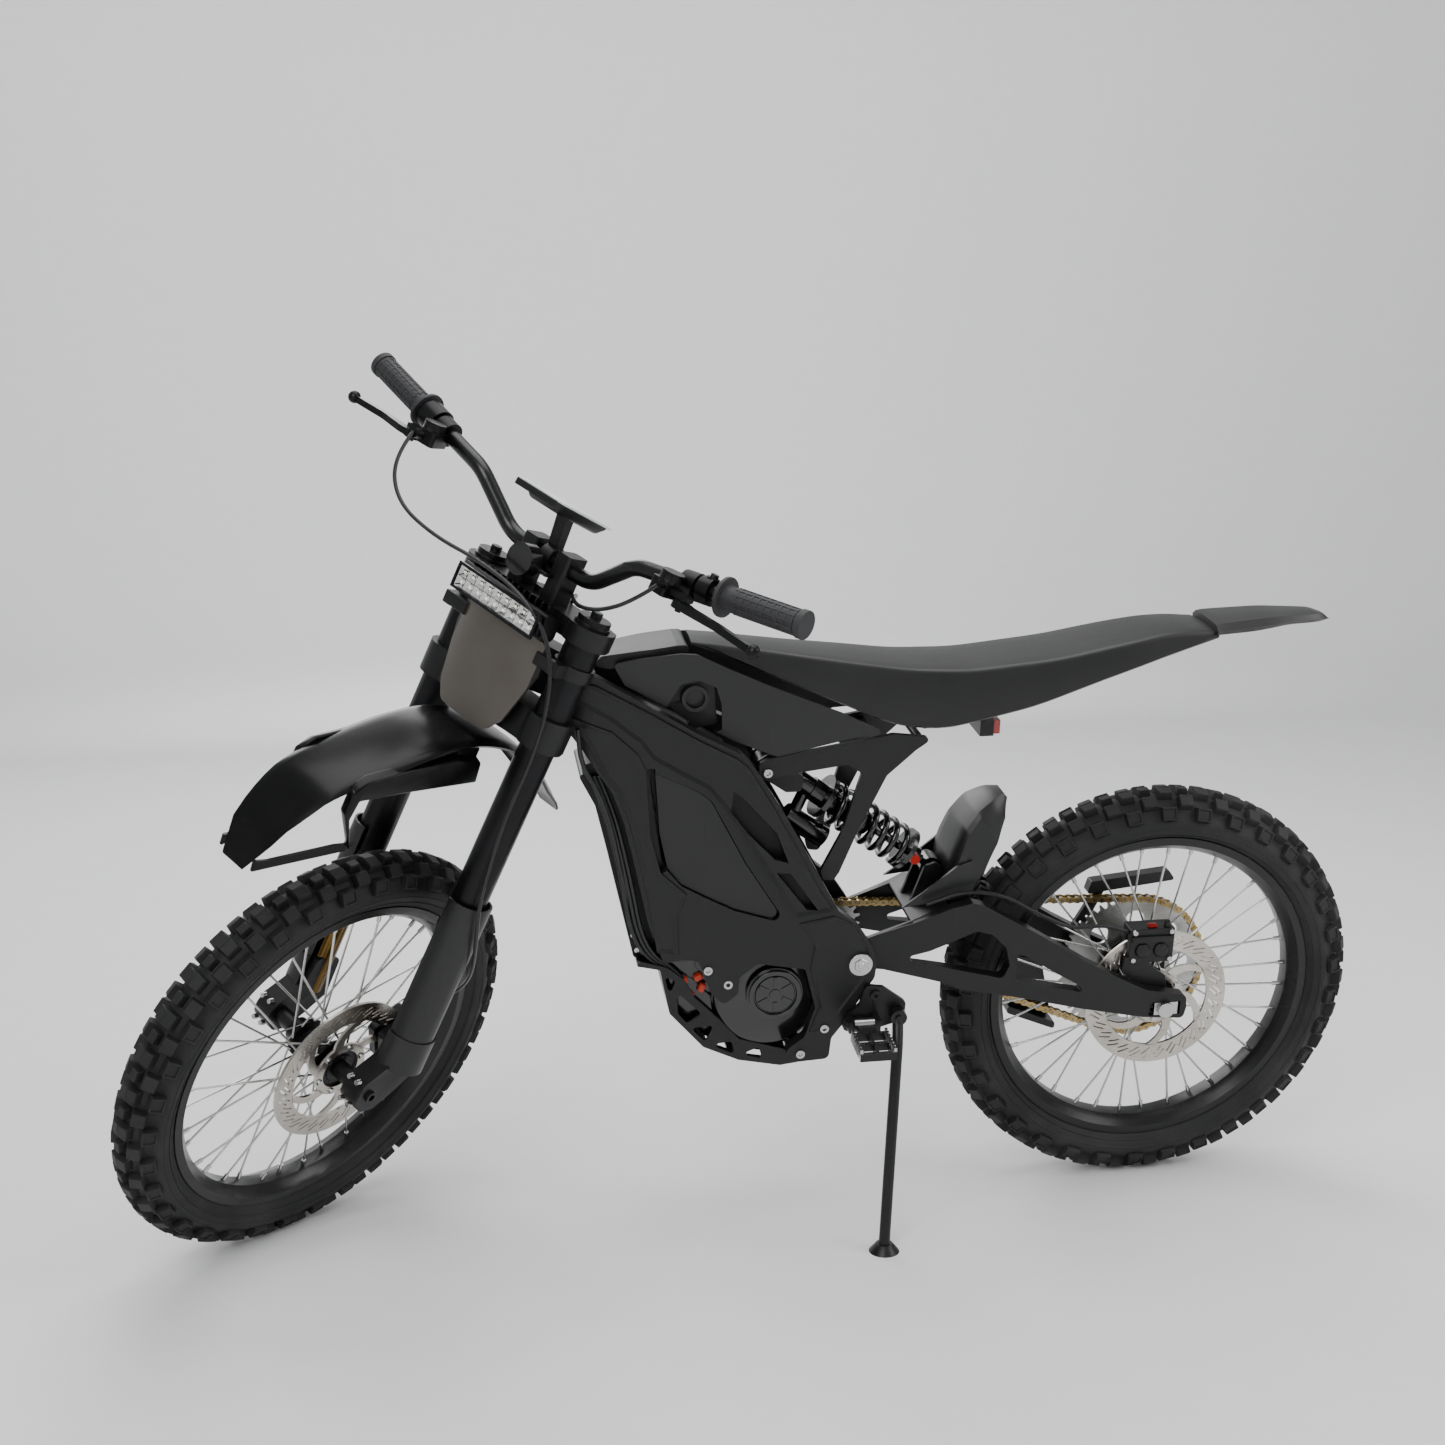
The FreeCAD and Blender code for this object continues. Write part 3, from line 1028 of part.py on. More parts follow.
def brake_lever(side):
    """Bent lever blade with its pivot eye and ball end."""
    height, lead, pivot_y = LEVER_PIVOT
    eye = rod(fork_point(height - 6, lead, side * pivot_y), fork_point(height + 5, lead, side * pivot_y), 11.0)
    blade = steer_slab([(side * 250, lead - 4), (side * 254, lead + 11), (side * 276, lead + 12),
                        (side * 320, lead + 3), (side * 376, lead + 8), (side * 376, lead - 4), (side * 318, lead - 9),
                        (side * 276, lead - 6), (side * 262, lead - 11)], height - 5, height + 4, 5.0)
    ball = Part.makeSphere(9.0, fork_point(height, lead + 3, side * 383))
    lever = eye.fuse([blade, ball])
    bore = rod(fork_point(height - 14, lead, side * pivot_y), fork_point(height + 14, lead, side * pivot_y),
               4.0 + RUN_CLEARANCE)
    return [lever.cut(bore)]


def display():
    """Flat display above the bar on its arm."""
    screen = steer_plate([(-36, 826), (98, 852), (96, 863), (-38, 837)], -38, 38, 3.0)
    arm = steer_plate([(8, 788), (22, 790), (30, 836), (12, 834)], -9, 9, 3.0)
    cross = rod(fork_point(BAR_CENTRE[0], BAR_CENTRE[1], -10), fork_point(BAR_CENTRE[0], BAR_CENTRE[1], 10),
                BAR_R + 7, BAR_R)
    return [screen.fuse([arm, cross])]


def horn():
    """Round horn in front of the bar clamp."""
    can = Part.makeCylinder(22.0, 22.0, fork_point(764, 48, -4), LEAD_DIR)
    back = steer_plate([(32.2, 756), (50, 756), (50, 762), (32.2, 762)], -30, 30, 2.0)
    return [can.fuse(back)]


LAMP_HALF = 81.0


def headlight():
    """Wide light bar: finned housing with a glazed front."""
    body = steer_plate([(44, 716), (72, 724), (78, 720), (70, 686), (52, 684), (44, 692)], -LAMP_HALF, LAMP_HALF,
                       4.0)
    for k in range(13):
        y = -LAMP_HALF + 10 + k * (2 * LAMP_HALF - 20) / 12.0
        body = body.fuse(steer_plate([(45, 712), (68, 720), (68, 733), (45, 728)], y - 1.5, y + 1.5, 2.0))
    glass = steer_plate([(79, 719), (84, 716), (78, 691), (72, 690)], -LAMP_HALF + 3, LAMP_HALF - 3, 1.0)
    return [body, glass]


def number_plate():
    """Curved plate under the light, with straps round the fork tubes."""
    lead = 62.0
    outline = [(-78, 682), (-82, 640), (-62, 560), (-44, 536), (44, 536), (62, 560), (82, 640), (78, 682)]
    def place(side, height):
        return fork_point(height, lead - 40, side)
    prism = Part.Face(rounded_wire(outline, 16.0, place)).extrude(LEAD_DIR * 60)
    bow = 190.0
    axis_low = fork_point(500, lead - bow, 0)
    outer = Part.makeCylinder(bow, 220, axis_low, STEER_DIR)
    inner = Part.makeCylinder(bow - 3.5, 220, axis_low, STEER_DIR)
    plate = prism.common(outer).cut(inner)
    solids = [plate]
    for side in (1, -1):
        arm = steer_plate([(40, 668), (52, 668), (52, 650), (40, 650)], side * 70, side * 112, 2.0)
        ring = leg_rod(side * FORK_SPREAD, 650, 668, OUTER_TUBE_R + 4, OUTER_TUBE_R)
        web = steer_slab([(side * 96, 30), (side * 112, 30), (side * 112, 52), (side * 96, 52)], 650, 668, 2.0)
        solids.append(arm.fuse([ring, web]).cut(leg_rod(side * FORK_SPREAD, 640, 680, OUTER_TUBE_R)))
    return solids


def front_fender():
    """High front fender under the lower clamp."""
    top = [(-210, 407), (-120, 470), (-40, 516), (40, 532), (107, 524), (152, 506), (220, 478), (300, 440),
           (340, 380), (352, 322)]
    under = [(342, 318), (326, 376), (290, 428), (214, 462), (150, 490), (104, 507), (40, 515), (-36, 500),
             (-114, 456), (-204, 398)]
    body = steer_plate(top + under, -62, 62, 8.0)
    def place(side, lead):
        return fork_point(290, lead, side)
    plan = [(30, -215), (44, -120), (56, -40), (58, 60), (62, 160), (60, 240), (44, 320), (26, 356), (-26, 356),
            (-44, 320), (-60, 240), (-62, 160), (-58, 60), (-56, -40), (-44, -120), (-30, -215)]
    column = Part.Face(rounded_wire(plan, 10.0, place)).extrude(STEER_DIR * 300)
    mount = steer_slab([(-30, 0), (30, 0), (30, 50), (-30, 50)], 528, LOWER_CLAMP[0] - 0.5, 6.0)
    return [body.common(column).fuse(mount)]


# ---- hoses and cables ---------------------------------------------------------------------------------
LEG_SIDE = FORK_SPREAD + OUTER_TUBE_R
FRONT_HOSE = ((838, 100, -232), (800, 128, -222), (752, 138, -176), (728, 134, -104), (722, 124, -26),
              (706, 106, 48), (668, 78, 102), (610, 60, LEG_SIDE + 5), (540, 54, LEG_SIDE + 11),
              (466, 50, LEG_SIDE + 7), (394, 46, LEG_SIDE + 11), (326, 38, LEG_SIDE + 17), (262, 10, LEG_SIDE + 19),
              (202, -28, LEG_SIDE + 7), (154, -56, LEG_SIDE - 21), (118, -62, 74))
REAR_HOSE = ((840, 96, 232), (806, 104, 212), (772, 92, 166), (752, 64, 112), (748, 28, 68), (742, -18, 40),
             (724, -42, 18), (686, -45, 10))
CABLE = ((862, 66, 786), (858, 64, 736), (832, 64, 688), (816, 62, 634), (806, 61, 578), (792, 58, 520),
         (778, 56, 462))


def front_brake_hose():
    """Hose from the right master cylinder, past the light, to the caliper behind the left leg."""
    tube, radii = tube_along([fork_point(*p) for p in FRONT_HOSE], HOSE_R)
    HOSE_RADII["front hose"] = radii
    return [tube]


def rear_brake_hose():
    """Hose from the left master cylinder to the back of the headstock."""
    tube, radii = tube_along([fork_point(*p) for p in REAR_HOSE], HOSE_R)
    HOSE_RADII["rear hose, upper"] = radii
    return [tube]


def wiring():
    """Cable run down the left down member."""
    tube, radii = tube_along([V(*point) for point in CABLE], CABLE_R)
    HOSE_RADII["cable"] = radii
    return [tube]


# ---- rest pose ----------------------------------------------------------------------------------------
def lean_rotation(pitch):
    """Turn from the upright machine to the one leaning on its stand."""
    return Rotation(V(1, 0, 0), -LEAN).multiply(Rotation(Y_AXIS, pitch))


def contact_offset(normal, centre, axle_dir, radius, section):
    """Lowest reach of a round-section tyre along the ground's normal."""
    across = axle_dir.dot(normal)
    return centre.dot(normal) - (radius - section) * math.sqrt(1.0 - across * across) - section


def steered(point, direction=False):
    """A point or direction of the straight-ahead steering group, turned to its rest angle."""
    turn = Rotation(STEER_DIR, STEER_REST)
    if direction:
        return turn.multVec(point)
    return STEER_FOOT + turn.multVec(point - STEER_FOOT)


def contact_gap(pitch):
    """How far the front tyre's lowest point is above the rear one's."""
    normal = lean_rotation(pitch).inverted().multVec(V(0, 0, 1))
    rear = contact_offset(normal, REAR_AXLE, Y_AXIS, REAR_TYRE_R, REAR_SECTION_R)
    front = contact_offset(normal, steered(FRONT_AXLE), steered(Y_AXIS, True), FRONT_TYRE_R, FRONT_SECTION_R)
    return front - rear


def find_pitch():
    """Pitch at which both tyres touch the ground, by halving."""
    low, high = -8.0, 8.0
    low_sign = contact_gap(low) > 0
    for _ in range(60):
        middle = (low + high) / 2.0
        if (contact_gap(middle) > 0) == low_sign:
            low = middle
        else:
            high = middle
    return (low + high) / 2.0


PITCH = find_pitch()
TURN = lean_rotation(PITCH)


def ground_normal():
    """The ground's upward normal, seen from the upright machine."""
    return TURN.inverted().multVec(V(0, 0, 1))


STEER_GROUP = {"triple_clamps", "fork_outer_tubes", "handlebar", "display", "horn", "headlight", "number_plate",
               "front_fender", "bar_controls", "mode_button", "grip_left", "throttle_grip", "brake_lever_left",
               "brake_lever_right", "fork_sliders", "fork_guards", "front_caliper", "front_hub", "front_spokes",
               "front_rim", "front_tyre", "front_disc", "front_brake_hose", "rear_brake_hose"}


def build_nodes():
    """Every node on the upright machine, as name to list of solids."""
    shell = frame_shell()
    cover = battery_cover()
    front_spin = FRONT_AXLE
    nodes = {
        "frame_shell_left": [shell], "frame_shell_right": [mirrored(shell)], "frame_core": frame_core(),
        "battery": battery(), "battery_covers": both_sides(cover), "controller": controller(), "motor": motor(),
        "skid_plate": skid_plate(), "subframe": subframe(), "seat": seat(), "tank_cover": tank_cover(),
        "side_panels": side_panels(), "tail_fender": tail_fender(), "tail_light": tail_light(),
        "peg_brackets": peg_brackets(), "frame_bolts": frame_bolts(), "footpeg_left": footpeg(1),
        "footpeg_right": footpeg(-1), "side_stand": side_stand(), "drive_sprocket": drive_sprocket(),
        "swingarm": swingarm(), "chain_guides": chain_guides(), "hugger": hugger(), "rear_axle": rear_axle(),
        "rear_caliper": rear_caliper(), "chain": chain(), "rear_hub": hub(REAR_AXLE, REAR_HUB_HALF,
                                                                          CHAIN_Y + SPROCKET_T / 2),
        "rear_spokes": spokes(REAR_AXLE), "rear_rim": rim(REAR_AXLE, REAR_RIM_HALF),
        "rear_tyre": tyre(REAR_AXLE, REAR_TYRE_R, REAR_SECTION_R, REAR_RIM_HALF), "rear_disc": brake_disc(REAR_AXLE),
        "rear_sprocket": rear_sprocket(), "shock_body": shock_body(), "shock_spring": shock_spring(),
        "shock_rod": shock_rod(), "triple_clamps": triple_clamps(), "fork_outer_tubes": fork_outer_tubes(),
        "handlebar": handlebar(), "display": display(), "horn": horn(), "headlight": headlight(),
        "number_plate": number_plate(), "front_fender": front_fender(), "bar_controls": bar_controls(),
        "mode_button": mode_button(), "grip_left": grip(1, 0.0), "throttle_grip": grip(-1, RUN_CLEARANCE),
        "brake_lever_left": brake_lever(1), "brake_lever_right": brake_lever(-1), "fork_sliders": fork_sliders(),
        "fork_guards": fork_guards(), "front_caliper": front_caliper(), "front_hub": hub(front_spin, FRONT_HUB_HALF),
        "front_spokes": spokes(front_spin), "front_rim": rim(front_spin, FRONT_RIM_HALF),
        "front_tyre": tyre(front_spin, FRONT_TYRE_R, FRONT_SECTION_R, FRONT_RIM_HALF),
        "front_disc": brake_disc(front_spin), "front_brake_hose": front_brake_hose(),
        "rear_brake_hose": rear_brake_hose(), "wiring": wiring(),
    }
    return nodes


def leaned_placement():
    """Placement from the upright machine to the ground plane, before the origin is centred."""
    normal = ground_normal()
    drop = contact_offset(normal, REAR_AXLE, Y_AXIS, REAR_TYRE_R, REAR_SECTION_R)
    return Placement(V(0, 0, -drop), TURN)


def place_nodes(nodes):
    """All nodes at rest on the ground, and the shift that centres their box on the origin."""
    turn_bars = Placement(V(0, 0, 0), Rotation(STEER_DIR, STEER_REST), STEER_FOOT)
    lean = leaned_placement()
    placed = {}
    low, high = V(1e9, 1e9, 1e9), V(-1e9, -1e9, -1e9)
    for name, solids in nodes.items():
        shape = Part.makeCompound(solids) if len(solids) > 1 else solids[0]
        matrix = lean.multiply(turn_bars) if name in STEER_GROUP else lean
        shape = shape.transformed(matrix.toMatrix(), True)
        placed[name] = shape
        points, _ = shape.tessellate(0.3)
        low = V(min(low.x, min(p.x for p in points)), min(low.y, min(p.y for p in points)), 0)
        high = V(max(high.x, max(p.x for p in points)), max(high.y, max(p.y for p in points)), 0)
    shift = V(-(low.x + high.x) / 2.0, -(low.y + high.y) / 2.0, 0)
    for shape in placed.values():
        shape.translate(shift)
    return placed, shift


def main():
    """Build the machine and write one file for each node."""
    os.makedirs("parts", exist_ok=True)
    placed, _ = place_nodes(build_nodes())
    for name, shape in placed.items():
        shape.exportStep("parts/%s.step" % name)
    for name, radii in HOSE_RADII.items():
        print(name, "bend radii", " ".join("%.0f" % r for r in radii))


if __name__ == "__main__":
    main()
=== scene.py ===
"""Studio scene of an electric off-road motorcycle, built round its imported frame.

Every sub-assembly is a class: its sizes are dataclass fields in millimetres, and its methods build the
meshes and dress them. Two placements carry millimetres into the frame: the machine's own (x forward,
y left, z up, rear axle above the origin) and the fork's (lead, side, height along the steering axis).
"""
from __future__ import annotations

import json
import logging
import math
from dataclasses import dataclass, field
from enum import Enum
from typing import Callable, Iterable, Optional, Sequence

import bmesh
import bpy
from mathutils import Matrix, Vector

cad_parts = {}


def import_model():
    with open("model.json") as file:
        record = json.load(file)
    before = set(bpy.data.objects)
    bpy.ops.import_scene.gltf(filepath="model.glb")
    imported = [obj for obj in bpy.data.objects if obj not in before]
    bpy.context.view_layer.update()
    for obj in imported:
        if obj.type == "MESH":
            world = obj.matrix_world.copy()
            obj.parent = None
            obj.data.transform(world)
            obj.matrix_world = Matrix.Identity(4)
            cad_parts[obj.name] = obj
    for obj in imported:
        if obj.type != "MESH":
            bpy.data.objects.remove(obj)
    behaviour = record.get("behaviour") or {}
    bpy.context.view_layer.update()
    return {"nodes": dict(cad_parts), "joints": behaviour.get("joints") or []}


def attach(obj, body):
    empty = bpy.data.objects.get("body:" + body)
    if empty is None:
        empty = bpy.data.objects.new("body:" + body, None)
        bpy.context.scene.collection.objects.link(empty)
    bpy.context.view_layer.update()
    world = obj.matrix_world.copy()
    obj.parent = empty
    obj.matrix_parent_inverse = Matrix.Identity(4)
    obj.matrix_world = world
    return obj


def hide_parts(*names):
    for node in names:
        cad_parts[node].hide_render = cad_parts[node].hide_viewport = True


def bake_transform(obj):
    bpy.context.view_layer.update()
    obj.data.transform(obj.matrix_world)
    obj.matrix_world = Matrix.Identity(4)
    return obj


LOG = logging.getLogger("motorcycle")
MM = 0.001
Point = tuple[float, float, float]
Flat = tuple[float, float]


# ---- colour and nodes ---------------------------------------------------------------------------------
def linear(hex_colour: str) -> tuple[float, float, float, float]:
    """Turn an sRGB hex colour into the linear values that shaders take.

    Args:
        hex_colour: six hex digits, red first.

    Returns:
        Linear red, green and blue, and an alpha of 1.
    """
    values = [int(hex_colour[k:k + 2], 16) / 255.0 for k in (0, 2, 4)]
    lin = [v / 12.92 if v <= 0.04045 else ((v + 0.055) / 1.055) ** 2.4 for v in values]
    return lin[0], lin[1], lin[2], 1.0


def add_node(tree: bpy.types.NodeTree, kind: str, inputs: Optional[dict] = None,
             **settings: object) -> bpy.types.Node:
    """Add one shader node.

    Args:
        tree: the node tree.
        kind: the node's type name.
        inputs: socket name or number to a constant, or to the output socket that feeds it.
        settings: attributes of the node itself.

    Returns:
        The new node.
    """
    node = tree.nodes.new(kind)
    for name, value in settings.items():
        setattr(node, name, value)
    for key, value in (inputs or {}).items():
        if isinstance(value, bpy.types.NodeSocket):
            tree.links.new(value, node.inputs[key])
        else:
            node.inputs[key].default_value = value
    return node


class Relief(Enum):
    """How a surface was left by its making, as the bump pattern that shows it."""

    SMOOTH = "smooth"
    CAST = "cast"
    MOULDED = "moulded"
    BRUSHED = "brushed"
    GRAINED = "grained"


@dataclass(frozen=True)
class Finish:
    """One real material and how its surface was made."""

    name: str
    colour: str
    shade: str
    roughness: float
    roughness_spread: float = 0.06
    metallic: float = 0.0
    relief: Relief = Relief.SMOOTH
    pitch_mm: float = 1.0
    depth_mm: float = 0.1
    coat: float = 0.0
    coat_roughness: float = 0.08
    specular: float = 0.5
    glow: float = 0.0
    dust: float = 0.0

    CLOUD_SCALE = 14.0
    DUST_SCALE = 9.0
    DUST_COLOUR = "8f8b84"

    def material(self) -> bpy.types.Material:
        """Return the finish's material, built the first time it is asked for."""
        found = bpy.data.materials.get(self.name)
        return found if found is not None else self._build()

    def _build(self) -> bpy.types.Material:
        """Build the node tree.

        Returns:
            The new material.
        """
        material = bpy.data.materials.new(self.name)
        material.use_nodes = True
        tree = material.node_tree
        tree.nodes.clear()
        place = add_node(tree, "ShaderNodeTexCoord").outputs["Object"]
        cloud = add_node(tree, "ShaderNodeTexNoise", {
            "Vector": place, "Scale": self.CLOUD_SCALE, "Detail": 5.0}).outputs["Fac"]
        fine = self._pattern(tree, place)
        blend = add_node(tree, "ShaderNodeMath", {0: cloud, 1: fine}, operation="ADD").outputs[0]
        share = add_node(tree, "ShaderNodeMapRange", {"Value": blend, "From Min": 0.6, "From Max": 1.4})
        mix = add_node(tree, "ShaderNodeMix", {"Factor": share.outputs[0]}, data_type="RGBA")
        mix.inputs[6].default_value = linear(self.colour)
        mix.inputs[7].default_value = linear(self.shade)
        colour = mix.outputs[2]
        if self.dust > 0.0:
            colour = self._dusted(tree, place, colour)
        rough = add_node(tree, "ShaderNodeMapRange", {
            "Value": blend, "From Min": 0.5, "From Max": 1.5,
            "To Min": max(self.roughness - self.roughness_spread, 0.02),
            "To Max": min(self.roughness + self.roughness_spread, 1.0)})
        shader = add_node(tree, "ShaderNodeBsdfPrincipled", {
            "Base Color": colour, "Roughness": rough.outputs[0], "Metallic": self.metallic,
            "Specular IOR Level": self.specular, "Coat Weight": self.coat,
            "Coat Roughness": self.coat_roughness})
        if self.glow > 0.0:
            shader.inputs["Emission Color"].default_value = linear(self.colour)
            shader.inputs["Emission Strength"].default_value = self.glow
        if self.relief is not Relief.SMOOTH:
            bump = add_node(tree, "ShaderNodeBump", {
                "Height": fine, "Distance": self.depth_mm * MM, "Strength": 1.0})
            tree.links.new(bump.outputs[0], shader.inputs["Normal"])
        add_node(tree, "ShaderNodeOutputMaterial", {"Surface": shader.outputs[0]})
        return material

    def _pattern(self, tree: bpy.types.NodeTree, place: bpy.types.NodeSocket) -> bpy.types.NodeSocket:
        """Build the fine pattern that the making leaves.

        Args:
            tree: the material's node tree.
            place: coordinates in metres.

        Returns:
            A value from 0 to 1.
        """
        scale = 1.0 / (self.pitch_mm * MM)
        if self.relief is Relief.BRUSHED:
            stretched = add_node(tree, "ShaderNodeMapping", {"Vector": place, "Scale": (0.04, 1.0, 1.0)})
            return add_node(tree, "ShaderNodeTexNoise", {
                "Vector": stretched.outputs[0], "Scale": scale, "Detail": 3.0}).outputs["Fac"]
        if self.relief is Relief.GRAINED:
            return add_node(tree, "ShaderNodeTexVoronoi", {"Vector": place, "Scale": scale},
                            feature="SMOOTH_F1").outputs["Distance"]
        detail = 6.0 if self.relief is Relief.CAST else 2.0
        return add_node(tree, "ShaderNodeTexNoise", {
            "Vector": place, "Scale": scale, "Detail": detail}).outputs["Fac"]

    def _dusted(self, tree: bpy.types.NodeTree, place: bpy.types.NodeSocket,
                colour: bpy.types.NodeSocket) -> bpy.types.NodeSocket:
        """Lay a thin film of dust over a colour, in soft patches.

        Args:
            tree: the material's node tree.
            place: coordinates in metres.
            colour: the clean colour.

        Returns:
            The dusted colour.
        """
        patch = add_node(tree, "ShaderNodeTexNoise", {
            "Vector": place, "Scale": self.DUST_SCALE, "Detail": 8.0}).outputs["Fac"]
        amount = add_node(tree, "ShaderNodeMapRange", {
            "Value": patch, "From Min": 0.45, "From Max": 0.75, "To Max": self.dust})
        film = add_node(tree, "ShaderNodeMix", {"Factor": amount.outputs[0]}, data_type="RGBA")
        tree.links.new(colour, film.inputs[6])
        film.inputs[7].default_value = linear(self.DUST_COLOUR)
        return film.outputs[2]


# Satin powder coat over cast aluminium: near-black, with a fine orange-peel that breaks up highlights.
POWDER_COAT = Finish("satin_powder_coat", "0d0d0e", "131314", 0.38, 0.07, relief=Relief.CAST, pitch_mm=1.1,
                     depth_mm=0.04, specular=0.36)
# Forged and machined aluminium with a black anodised skin: a dark metal glint on every edge.
BLACK_ANODISED = Finish("black_anodised_aluminium", "161617", "1f1f21", 0.33, 0.06, metallic=0.7,
                        relief=Relief.CAST, pitch_mm=0.6, depth_mm=0.02)
# Glossy black enamel on the motor and bar: mirror-like strips of studio light.
GLOSS_ENAMEL = Finish("black_gloss_enamel", "070708", "0c0c0d", 0.20, 0.05, coat=0.5, coat_roughness=0.08)
# Injection-moulded polypropylene with a satin tool finish: soft grey sheen on the covers.
MOULDED_PP = Finish("moulded_black_polypropylene", "0c0c0d", "141415", 0.42, 0.08, relief=Relief.MOULDED,
                    pitch_mm=0.9, depth_mm=0.04)
# Battery covers and tank cover in textured ABS: flatter and a little darker than the frame.
TEXTURED_ABS = Finish("textured_black_abs", "0a0a0b", "101011", 0.50, 0.06, relief=Relief.MOULDED,
                      pitch_mm=0.8, depth_mm=0.06)
# Black ABS with a quiet gloss: one long dim highlight along the high front mudguard.
GLOSS_ABS = Finish("gloss_black_abs", "040405", "080809", 0.26, 0.04, coat=0.05, coat_roughness=0.12,
                   specular=0.18)
# Warm grey metallic lacquer over ABS: the number plate.
GREY_LACQUER = Finish("grey_metallic_lacquer", "5d5852", "69645e", 0.33, 0.05, metallic=0.75, coat=0.25,
                      coat_roughness=0.12, relief=Relief.MOULDED, pitch_mm=0.5, depth_mm=0.01)
# Zinc-plated steel: bright button heads and axle nuts.
BRIGHT_STEEL = Finish("bright_zinc_steel", "c9c9c8", "aeaead", 0.24, 0.06, metallic=1.0, relief=Relief.CAST,
                      pitch_mm=0.7, depth_mm=0.01)
# Stainless spokes and nipples.
STAINLESS = Finish("stainless_steel", "d4d4d2", "b8b8b6", 0.22, 0.05, metallic=1.0)
# Ground stainless brake discs: a warm bright face with fine lines left by the grinding wheel.
GROUND_STEEL = Finish("ground_stainless_disc", "d2cdc6", "aaa49c", 0.28, 0.08, metallic=1.0,
                      relief=Relief.BRUSHED, pitch_mm=0.8, depth_mm=0.01)
# Gold titanium-nitride coat on the fork's inner tubes.
GOLD_NITRIDE = Finish("gold_nitride_tube", "7c6136", "68502b", 0.24, 0.04, metallic=1.0)
# Gold-plated chain plates with a little oil on them.
GOLD_PLATE = Finish("gold_plated_chain", "c0a873", "9c8250", 0.32, 0.10, metallic=1.0, relief=Relief.CAST,
                    pitch_mm=1.5, depth_mm=0.02)
# Hardened steel rollers between the chain's plates.
ROLLER_STEEL = Finish("hardened_roller_steel", "8f8f8c", "6f6f6c", 0.28, 0.06, metallic=1.0)
# Carbon-filled tyre rubber: matt, slightly dusty on the side walls.
TYRE_RUBBER = Finish("knobbly_tyre_rubber", "111112", "19191a", 0.66, 0.08, relief=Relief.CAST, pitch_mm=1.6,
                     depth_mm=0.09, specular=0.4, dust=0.06)
# Soft grip rubber in mid grey.
GRIP_RUBBER = Finish("soft_grip_rubber", "242426", "2d2d2f", 0.62, 0.05, relief=Relief.MOULDED, pitch_mm=0.7,
                     depth_mm=0.05)
# EPDM hose and cable sheath: smooth black with a soft line of light.
HOSE_SHEATH = Finish("black_epdm_hose", "0a0a0b", "101011", 0.34, 0.05, relief=Relief.MOULDED, pitch_mm=1.2,
                     depth_mm=0.02)
# Grained vinyl seat cover.
GRAINED_VINYL = Finish("grained_vinyl", "0c0c0d", "131314", 0.46, 0.08, relief=Relief.GRAINED, pitch_mm=1.4,
                       depth_mm=0.06)
# Machined sprocket steel.
SPROCKET_STEEL = Finish("machined_sprocket_steel", "bdbdbb", "a0a09e", 0.30, 0.07, metallic=1.0,
                        relief=Relief.BRUSHED, pitch_mm=0.9, depth_mm=0.01)
# Red polycarbonate tail lens.
RED_LENS = Finish("red_polycarbonate_lens", "8e1210", "a51a15", 0.16, 0.03, coat=0.5, glow=0.05)
# Aluminised reflector cells: bright facets that catch the studio one by one.
REFLECTOR = Finish("aluminised_reflector", "f0f0ee", "dcdcda", 0.10, 0.03, metallic=1.0)
# The phosphor of the unlit LEDs, given a painted glow so that it reads bright.
LED_DIE = Finish("white_led_die", "f4f2e6", "fbfaf2", 0.35, 0.02, glow=0.35)
# The display's pale polariser, seen unlit.
PALE_SCREEN = Finish("pale_display_glass", "dfe2e4", "e9ebec", 0.12, 0.03, coat=0.5)
# Satin black on the rims and handlebar: a soft band of light, never a mirror.
SATIN_RIM = Finish("satin_black_rim", "070708", "0c0c0d", 0.30, 0.06, coat=0.1, coat_roughness=0.2,
                   specular=0.38)
# Painted shade: a darker black laid on the pocket floors and across the duct, standing in for the shadow inside
# recesses.
PAINTED_SHADE_BLACK = Finish("painted_shade_black", "040404", "070707", 0.45, 0.05, specular=0.3)
# Red anodised adjuster knob.
RED_ANODISED = Finish("red_anodised_aluminium", "a3201a", "8c1813", 0.30, 0.05, metallic=0.8)
# Orange-red silicone connectors of the high-voltage leads.
ORANGE_SILICONE = Finish("orange_silicone", "b8300f", "9c260b", 0.45, 0.05)
# Pale grey studio floor and wall.
STUDIO_PAPER = Finish("pale_studio_paper", "e4e4e4", "e8e8e8", 0.85, 0.03)


# ---- placements ---------------------------------------------------------------------------------------
class Placement:
    """Where the machine's and the fork's own millimetres lie in the frame, read from the joints."""

    RAKE = math.radians(24.0)
    AXLE_LEAD = 53.0
    REAR_AXLE_HEIGHT = 318.0

    def __init__(self, joints: Sequence[dict]) -> None:
        """Work out both placements.

        Args:
            joints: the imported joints, with their axes and centres at rest.
        """
        named = {joint["name"]: joint for joint in joints}
        across = Vector(named["rear_wheel_spin"]["axis"])
        steer = Vector(named["steering"]["axis"])
        lead = across.cross(steer)
        forward = math.cos(self.RAKE) * lead - math.sin(self.RAKE) * steer
        up = math.sin(self.RAKE) * lead + math.cos(self.RAKE) * steer
        axle = Vector(named["rear_wheel_spin"]["pos_m"])
        self.machine = self._matrix(forward, across, up, axle - up * self.REAR_AXLE_HEIGHT * MM)
        side = Vector(named["front_wheel_spin"]["axis"])
        steered_lead = side.cross(steer)
        front_axle = Vector(named["front_wheel_spin"]["pos_m"])
        self.fork = self._matrix(steered_lead, side, steer, front_axle - steered_lead * self.AXLE_LEAD * MM)

    @staticmethod
    def _matrix(x_axis: Vector, y_axis: Vector, z_axis: Vector, origin: Vector) -> Matrix:
        """Return the matrix that carries millimetres on three axes to metres from an origin."""
        turn = Matrix((x_axis, y_axis, z_axis)).transposed().to_4x4()
        return Matrix.Translation(origin) @ turn @ Matrix.Scale(MM, 4)


